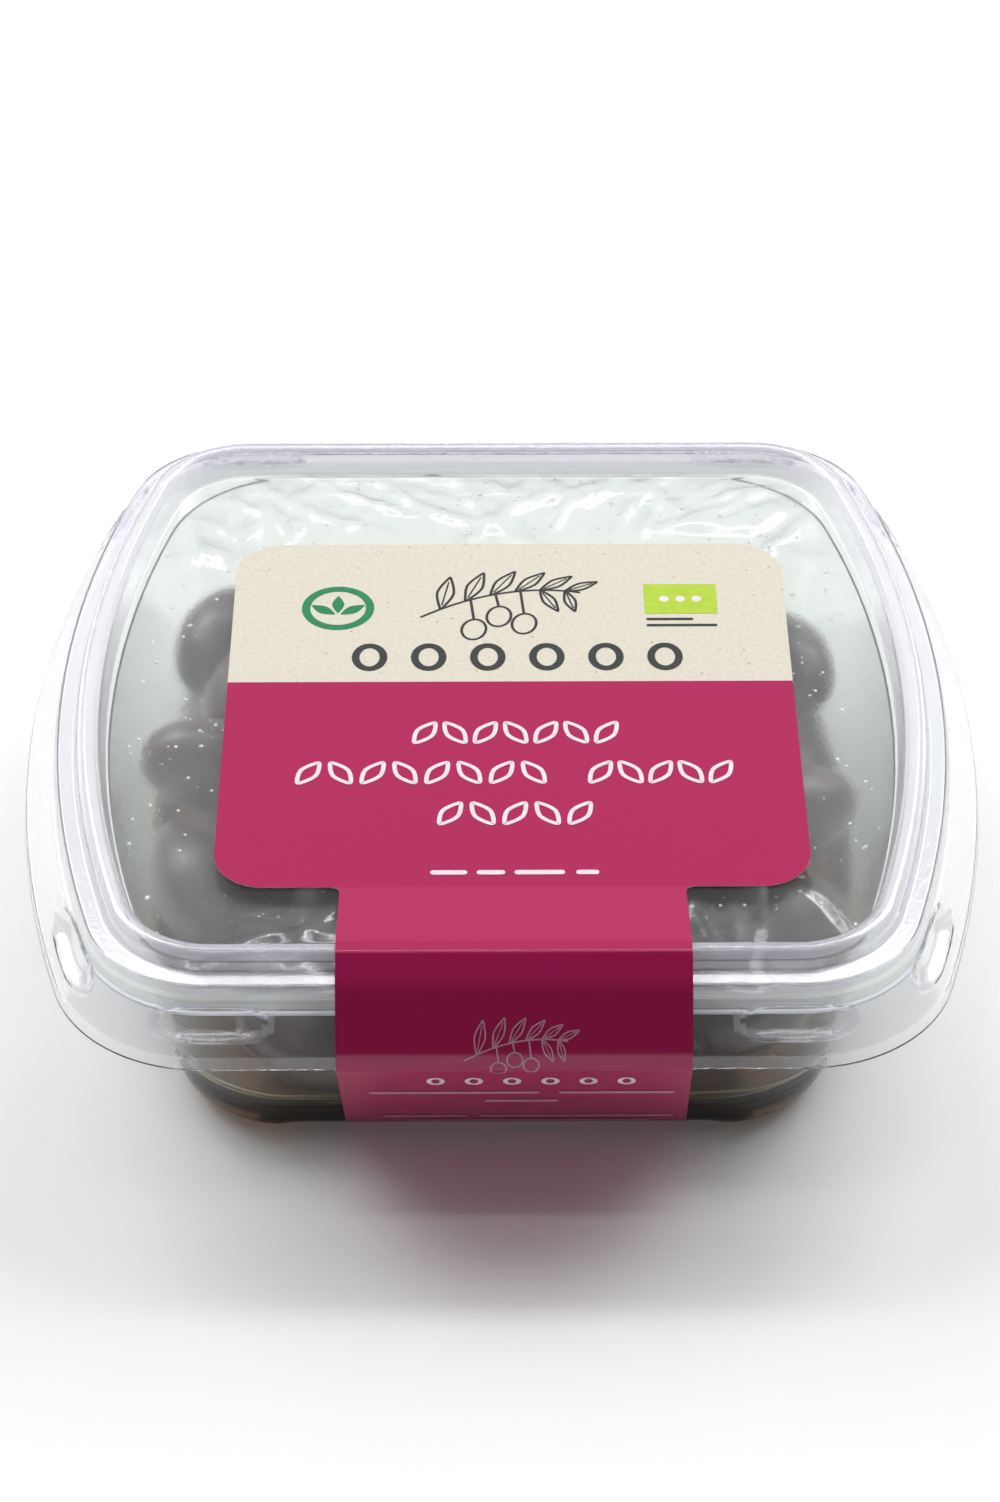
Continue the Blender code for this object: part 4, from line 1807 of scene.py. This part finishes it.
@dataclass
class OilLine:
    """The oil's rim where it meets the wall, its milky paleness a painted highlight of the meniscus."""

    oil: Oil
    radius: float = 0.19 * MM
    sides: int = 8
    rises: tuple[float, float] = (0.0, 1.0 * MM)

    def height(self, x: float, y: float, rise: float) -> float:
        """The rim's height at the wall: the upper one wanders more."""
        wander = noise.noise(Vector((x * 45.0, y * 45.0, 9.0)))
        return self.oil.edge_height(x, y) + rise * (1.0 + 1.3 * wander)

    def build(self, shop: Workshop, finish: ClearSheet) -> None:
        """Build each rim as a thin closed ring.

        Args:
            shop: Where the pieces are made.
            finish: The finish of both rims.
        """
        pack = self.oil.pack
        for number, rise in enumerate(self.rises):
            rings = []
            for side in range(self.sides + 1):
                angle = 2.0 * math.pi * side / self.sides
                inset = self.oil.tub.sheet + self.radius * (0.7 + math.cos(angle))
                plan = pack.wall(self.oil.level + rise, inset)
                lift = self.radius * math.sin(angle)
                rings.append([(x, y, self.height(x, y, rise) + lift) for x, y in pack.placed(plan)])
            bm = extrude_rings(rings, capped=False)
            bmesh.ops.remove_doubles(bm, verts=bm.verts, dist=0.01 * MM)
            bmesh.ops.recalc_face_normals(bm, faces=bm.faces)
            shop.piece(bm, f"oil_line_{number}", [finish.material()])


@dataclass
class Droplets:
    """Drops of brine and oil that hang under the film, made milky as painted glints."""

    film: SealFilm
    count: int = 2200
    sizes: Point2 = (0.09 * MM, 0.40 * MM)
    small: float = 0.25 * MM
    flatness: float = 0.45
    seed: int = 8

    def build(self, shop: Workshop, finish: ClearSheet) -> bpy.types.Object:
        """Build all drops as one mesh.

        Args:
            shop: Where the piece is made.
            finish: The finish of a drop.

        Returns:
            The drops.
        """
        draw = random.Random(self.seed)
        pack = self.film.pack
        ridges = self.film.ridges()
        room = pack.mouth.grown(-2.0 * MM)
        base = pack.flange_top + self.film.gap - self.film.sheet
        bm = bmesh.new()
        made = 0
        while made < self.count:
            x = draw.uniform(-room.half_width, room.half_width)
            y = draw.uniform(-room.half_depth, room.half_depth)
            crowd = noise.noise(Vector((x * 55.0, y * 55.0, 4.0)))
            if not room.holds(x, y) or crowd < draw.uniform(-0.6, 0.4):
                continue
            size = self.sizes[0] + (self.sizes[1] - self.sizes[0]) * draw.random() ** 5
            height = base + self.film.lift(x, y, ridges)
            place = Matrix.Translation((x, y + pack.middle_y, height))
            squash = Matrix.Diagonal((size * draw.uniform(0.8, 1.5), size, size * self.flatness, 1.0))
            turn = Matrix.Rotation(draw.uniform(0.0, math.pi), 4, "Z")
            bmesh.ops.create_icosphere(
                bm,
                subdivisions=1 if size < self.small else 2,
                radius=1.0,
                matrix=place @ turn @ squash,
            )
            made += 1
        return shop.piece(bm, "film_droplets", [finish.material()], (), 80.0)


@dataclass(frozen=True)
class Softbox:
    """One soft lamp: where it hangs, where it aims, its size and its power."""

    name: str
    place: tuple[float, float, float]
    aim: tuple[float, float, float]
    size: Point2
    watts: float
    colour: str = "#FFFFFF"


@dataclass
class Studio:
    """A pale floor, soft light from behind and above, and the camera of the photograph."""

    pack: Pack
    focal_mm: float = 93.475
    pitch_down: float = 38.8
    yaw_right: float = 0.3
    eye: tuple[float, float, float] = (-3.0 * MM, -530.7 * MM, 409.8 * MM)
    floor_half: float = 3.0
    tent_heights: tuple[tuple[float, str], ...] = (
        (0.0, "#A6A6A6"),
        (0.22, "#8E8E8E"),
        (0.5, "#B2B4B4"),
        (0.72, "#AAAAAA"),
        (1.0, "#848484"),
    )
    front_dark: Point2 = (-0.4, 0.4)
    front_share: float = 0.03
    # Painted glow of the floor: low near the pack as painted shade, high far off as painted light.
    floor_glow: Point2 = (0.05, 0.6)
    glow_reach: Point2 = (0.078, 0.34)
    lamps: tuple[Softbox, ...] = (
        Softbox("left_softbox", (-0.65, 0.55, 0.85), (0.0, 0.0, 0.0), (0.7, 0.7), 6.1),
        Softbox("right_softbox", (0.65, 0.55, 0.85), (0.0, 0.0, 0.0), (0.7, 0.7), 6.1),
        Softbox("top_strip", (0.0, 0.60, 1.05), (0.0, 0.0, 0.0), (1.5, 0.13), 5.0),
        Softbox("overhead_strip", (0.0, -0.04, 1.15), (0.0, -0.08, 0.0), (1.0, 0.06), 0.9),
    )

    def floor(self) -> None:
        """Lay the floor, whose painted glow grows the further it is from the pack: it is dim near the pack as
        painted shade.
        """
        bm = bmesh.new()
        bmesh.ops.create_grid(bm, x_segments=1, y_segments=1, size=self.floor_half)
        mesh = bpy.data.meshes.new("pale_floor")
        bm.to_mesh(mesh)
        bm.free()
        material, tree = new_material("floor_painted_glow")
        place = add_node(tree, "ShaderNodeTexCoord").outputs["Object"]
        tone = add_node(tree, "ShaderNodeTexNoise", values={"Scale": 2.0}, links={"Vector": place})
        colour = add_node(
            tree,
            "ShaderNodeValToRGB",
            links={"Fac": tone.outputs["Fac"]},
            stops=[(0.3, "#F2F2F2"), (0.7, "#F4F4F4")],
        )
        parts = add_node(tree, "ShaderNodeSeparateXYZ", links={"Vector": place})
        absolute = {"operation": "ABSOLUTE"}
        aside = add_node(tree, "ShaderNodeMath", absolute, links={0: parts.outputs["X"]})
        ahead = add_node(tree, "ShaderNodeMath", absolute, links={0: parts.outputs["Y"]})
        far = add_node(
            tree,
            "ShaderNodeMath",
            settings={"operation": "MAXIMUM"},
            links={0: aside.outputs[0], 1: ahead.outputs[0]},
        )
        # Painted light: the floor glows more with distance from the pack, and less near it as painted shade.
        glow = add_node(
            tree,
            "ShaderNodeMapRange",
            values={
                "From Min": self.glow_reach[0],
                "From Max": self.glow_reach[1],
                "To Min": self.floor_glow[0],
                "To Max": self.floor_glow[1],
            },
            links={"Value": far.outputs[0]},
        )
        shader = add_node(
            tree,
            "ShaderNodeBsdfPrincipled",
            values={"Roughness": 0.7, "Emission Color": linear("#FFFFFF")},
            links={"Base Color": colour.outputs["Color"], "Emission Strength": glow.outputs["Result"]},
        )
        add_node(tree, "ShaderNodeOutputMaterial", links={"Surface": shader.outputs[0]})
        mesh.materials.append(material)
        thing = bpy.data.objects.new("pale_floor", mesh)
        bpy.context.scene.collection.objects.link(thing)

    def light(self) -> None:
        """Hang the lamps and set the even light of the room."""
        for box in self.lamps:
            lamp = bpy.data.lights.new(box.name, "AREA")
            lamp.shape = "RECTANGLE"
            lamp.size, lamp.size_y = box.size
            lamp.energy = box.watts
            lamp.color = linear(box.colour)[:3]
            thing = bpy.data.objects.new(box.name, lamp)
            thing.location = box.place
            look = Vector(box.aim) - Vector(box.place)
            thing.rotation_euler = look.to_track_quat("-Z", "Y").to_euler()
            bpy.context.scene.collection.objects.link(thing)
        self.tent()

    def tent(self) -> None:
        """Close the set with a grey tent that is open to a dark room in front."""
        room = bpy.data.worlds.new("light_tent")
        room.use_nodes = True
        tree = room.node_tree
        tree.nodes.clear()
        toward = add_node(tree, "ShaderNodeTexCoord").outputs["Generated"]
        parts = add_node(tree, "ShaderNodeSeparateXYZ", links={"Vector": toward})
        cloth = add_node(
            tree, "ShaderNodeValToRGB", links={"Fac": parts.outputs["Z"]}, stops=self.tent_heights
        )
        front = add_node(
            tree,
            "ShaderNodeMapRange",
            settings={"interpolation_type": "SMOOTHSTEP"},
            values={
                "From Min": self.front_dark[0],
                "From Max": self.front_dark[1],
                "To Min": self.front_share,
            },
            links={"Value": parts.outputs["Y"]},
        )
        shine = add_node(
            tree,
            "ShaderNodeBackground",
            links={"Color": cloth.outputs["Color"], "Strength": front.outputs["Result"]},
        )
        add_node(tree, "ShaderNodeOutputWorld", links={"Surface": shine.outputs[0]})
        bpy.context.scene.world = room

    def camera(self) -> None:
        """Set the camera at the photograph's angle."""
        lens = bpy.data.cameras.new("photo_camera")
        lens.lens = self.focal_mm
        lens.sensor_width = 36.0
        lens.sensor_fit = "AUTO"
        thing = bpy.data.objects.new("photo_camera", lens)
        thing.location = Vector(self.eye) + Vector((0.0, self.pack.middle_y, self.pack.rim_top))
        thing.rotation_euler = (math.radians(90.0 - self.pitch_down), 0.0, math.radians(-self.yaw_right))
        bpy.context.scene.collection.objects.link(thing)
        bpy.context.scene.camera = thing

    def build(self) -> None:
        """Set up floor, light, camera and the plain view transform."""
        self.floor()
        self.light()
        self.camera()
        bpy.context.scene.view_settings.view_transform = "Standard"


# Thermoformed PET, glossy and nearly colourless: sharp glints, and the contents seen a little wavy.
LID_SHEET = ClearSheet("thermoformed_pet_lid", "#F9F9FB", 1.5, 0.05, 0.9 * MM, 0.2, "#F6F6F8")
# PET stretched over the bead: faintly milky, with drawn-out glints.
BEAD_SHEET = ClearSheet("stretched_pet_lid_bead", "#F6F5FA", 1.5, 0.07, 0.8 * MM, 0.35, "#F2F2F6", 0.82)
# PET bent sharply round a pocket: a whitish outline, partly whitened sheet and partly a painted glint where
# the bend catches light.
POCKET_RIM = ClearSheet("pocket_rim_whitening_painted_glint", "#F5F4F9", 1.5, 0.10, 0.8 * MM, 0.3, "#F0F0F4", 0.84)
# The tub's PET, smoother than the lid's: clear, with a faint cool green where it is seen edge on.
TUB_SHEET = ClearSheet("thermoformed_pet_tub", "#F9FCF8", 1.5, 0.05, 1.6 * MM, 0.10, "#F5F6F4")
# Peel film, a little dull: it veils the olives and catches soft lights on its puckers.
FILM_SHEET = ClearSheet("pet_peel_film", "#F7FBF8", 1.5, 0.13, 2.0 * MM, 0.2, "#F5F8F4", 0.98)
# PET heated where film and flange are welded: a paler, slightly rough band.
WELD_SHEET = ClearSheet("welded_pet_rim", "#FAFCF9", 1.5, 0.08, 0.7 * MM, 0.2, "#EEF1EE", 0.94)
# The flange's cut edge: a frosted light line.
CUT_EDGE = ClearSheet("frosted_pet_cut_edge", "#F2F2F4", 1.57, 0.4, 0.5 * MM, 0.6, "#DCDCE0", 0.6)
# Oil that clings to the wall: a thin straw-coloured line, its milky paleness a painted highlight of the
# meniscus.
OIL_RIM = ClearSheet("oil_meniscus_painted_highlight", "#C9B387", 1.46, 0.18, 2.0 * MM, 0.1, "#D6C49A", 0.62)
# Drops of oily brine: small pale points under the film, their milky whiteness a painted glint.
DEW_DROP = ClearSheet("dew_drop_painted_glint", "#F4F6F4", 1.4, 0.05, 2.0 * MM, 0.02, "#F0F2F0", 0.5)
# Offset inks: flat, slightly glossy fields with crisp edges.
INKS = {
    Ink.WHITE: FlatInk("white_offset_ink", "#F6E9EE", "#F0DDE5"),
    Ink.PALE: FlatInk("pale_pink_offset_ink", "#D79DB2", "#CB8EA5"),
    Ink.DARK: FlatInk("charcoal_offset_ink", "#2F3331", "#272A29"),
    Ink.GREEN: FlatInk("leaf_green_offset_ink", "#0A8A57", "#08804F"),
    Ink.LIME: FlatInk("lime_green_offset_ink", "#BBD93B", "#B4D332"),
}
# The label's uncoated back: matt and off-white.
PAPER_BACK = FlatInk("uncoated_paper_back", "#EDEAE4", "#E4E0D9", 0.75)


def main() -> None:
    """Build the pack around the frame."""
    logging.basicConfig(level=logging.INFO, format="%(message)s")
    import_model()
    pack = Pack.from_frame()
    shop = Workshop()
    lid = PressLid(pack)
    tub = ClearTub(pack)
    label = LabelSheet(pack, lid)
    tub.build(shop, TUB_SHEET, WELD_SHEET, CUT_EDGE)
    OliveHeap(pack).build(shop, OliveSkin())
    oil = Oil(pack, tub)
    oil.build(shop, OilyLiquid())
    OilLine(oil).build(shop, OIL_RIM)
    film = SealFilm(pack)
    film.build(shop, FILM_SHEET, WELD_SHEET)
    Droplets(film).build(shop, DEW_DROP)
    lid.build(shop, LID_SHEET, BEAD_SHEET, POCKET_RIM)
    label.build(shop, LabelPaper(), PAPER_BACK)
    Print(label).build(shop, INKS)
    Studio(pack).build()
    LOG.info("%d pieces in all", len(shop.made))


if __name__ == "__main__":
    main()
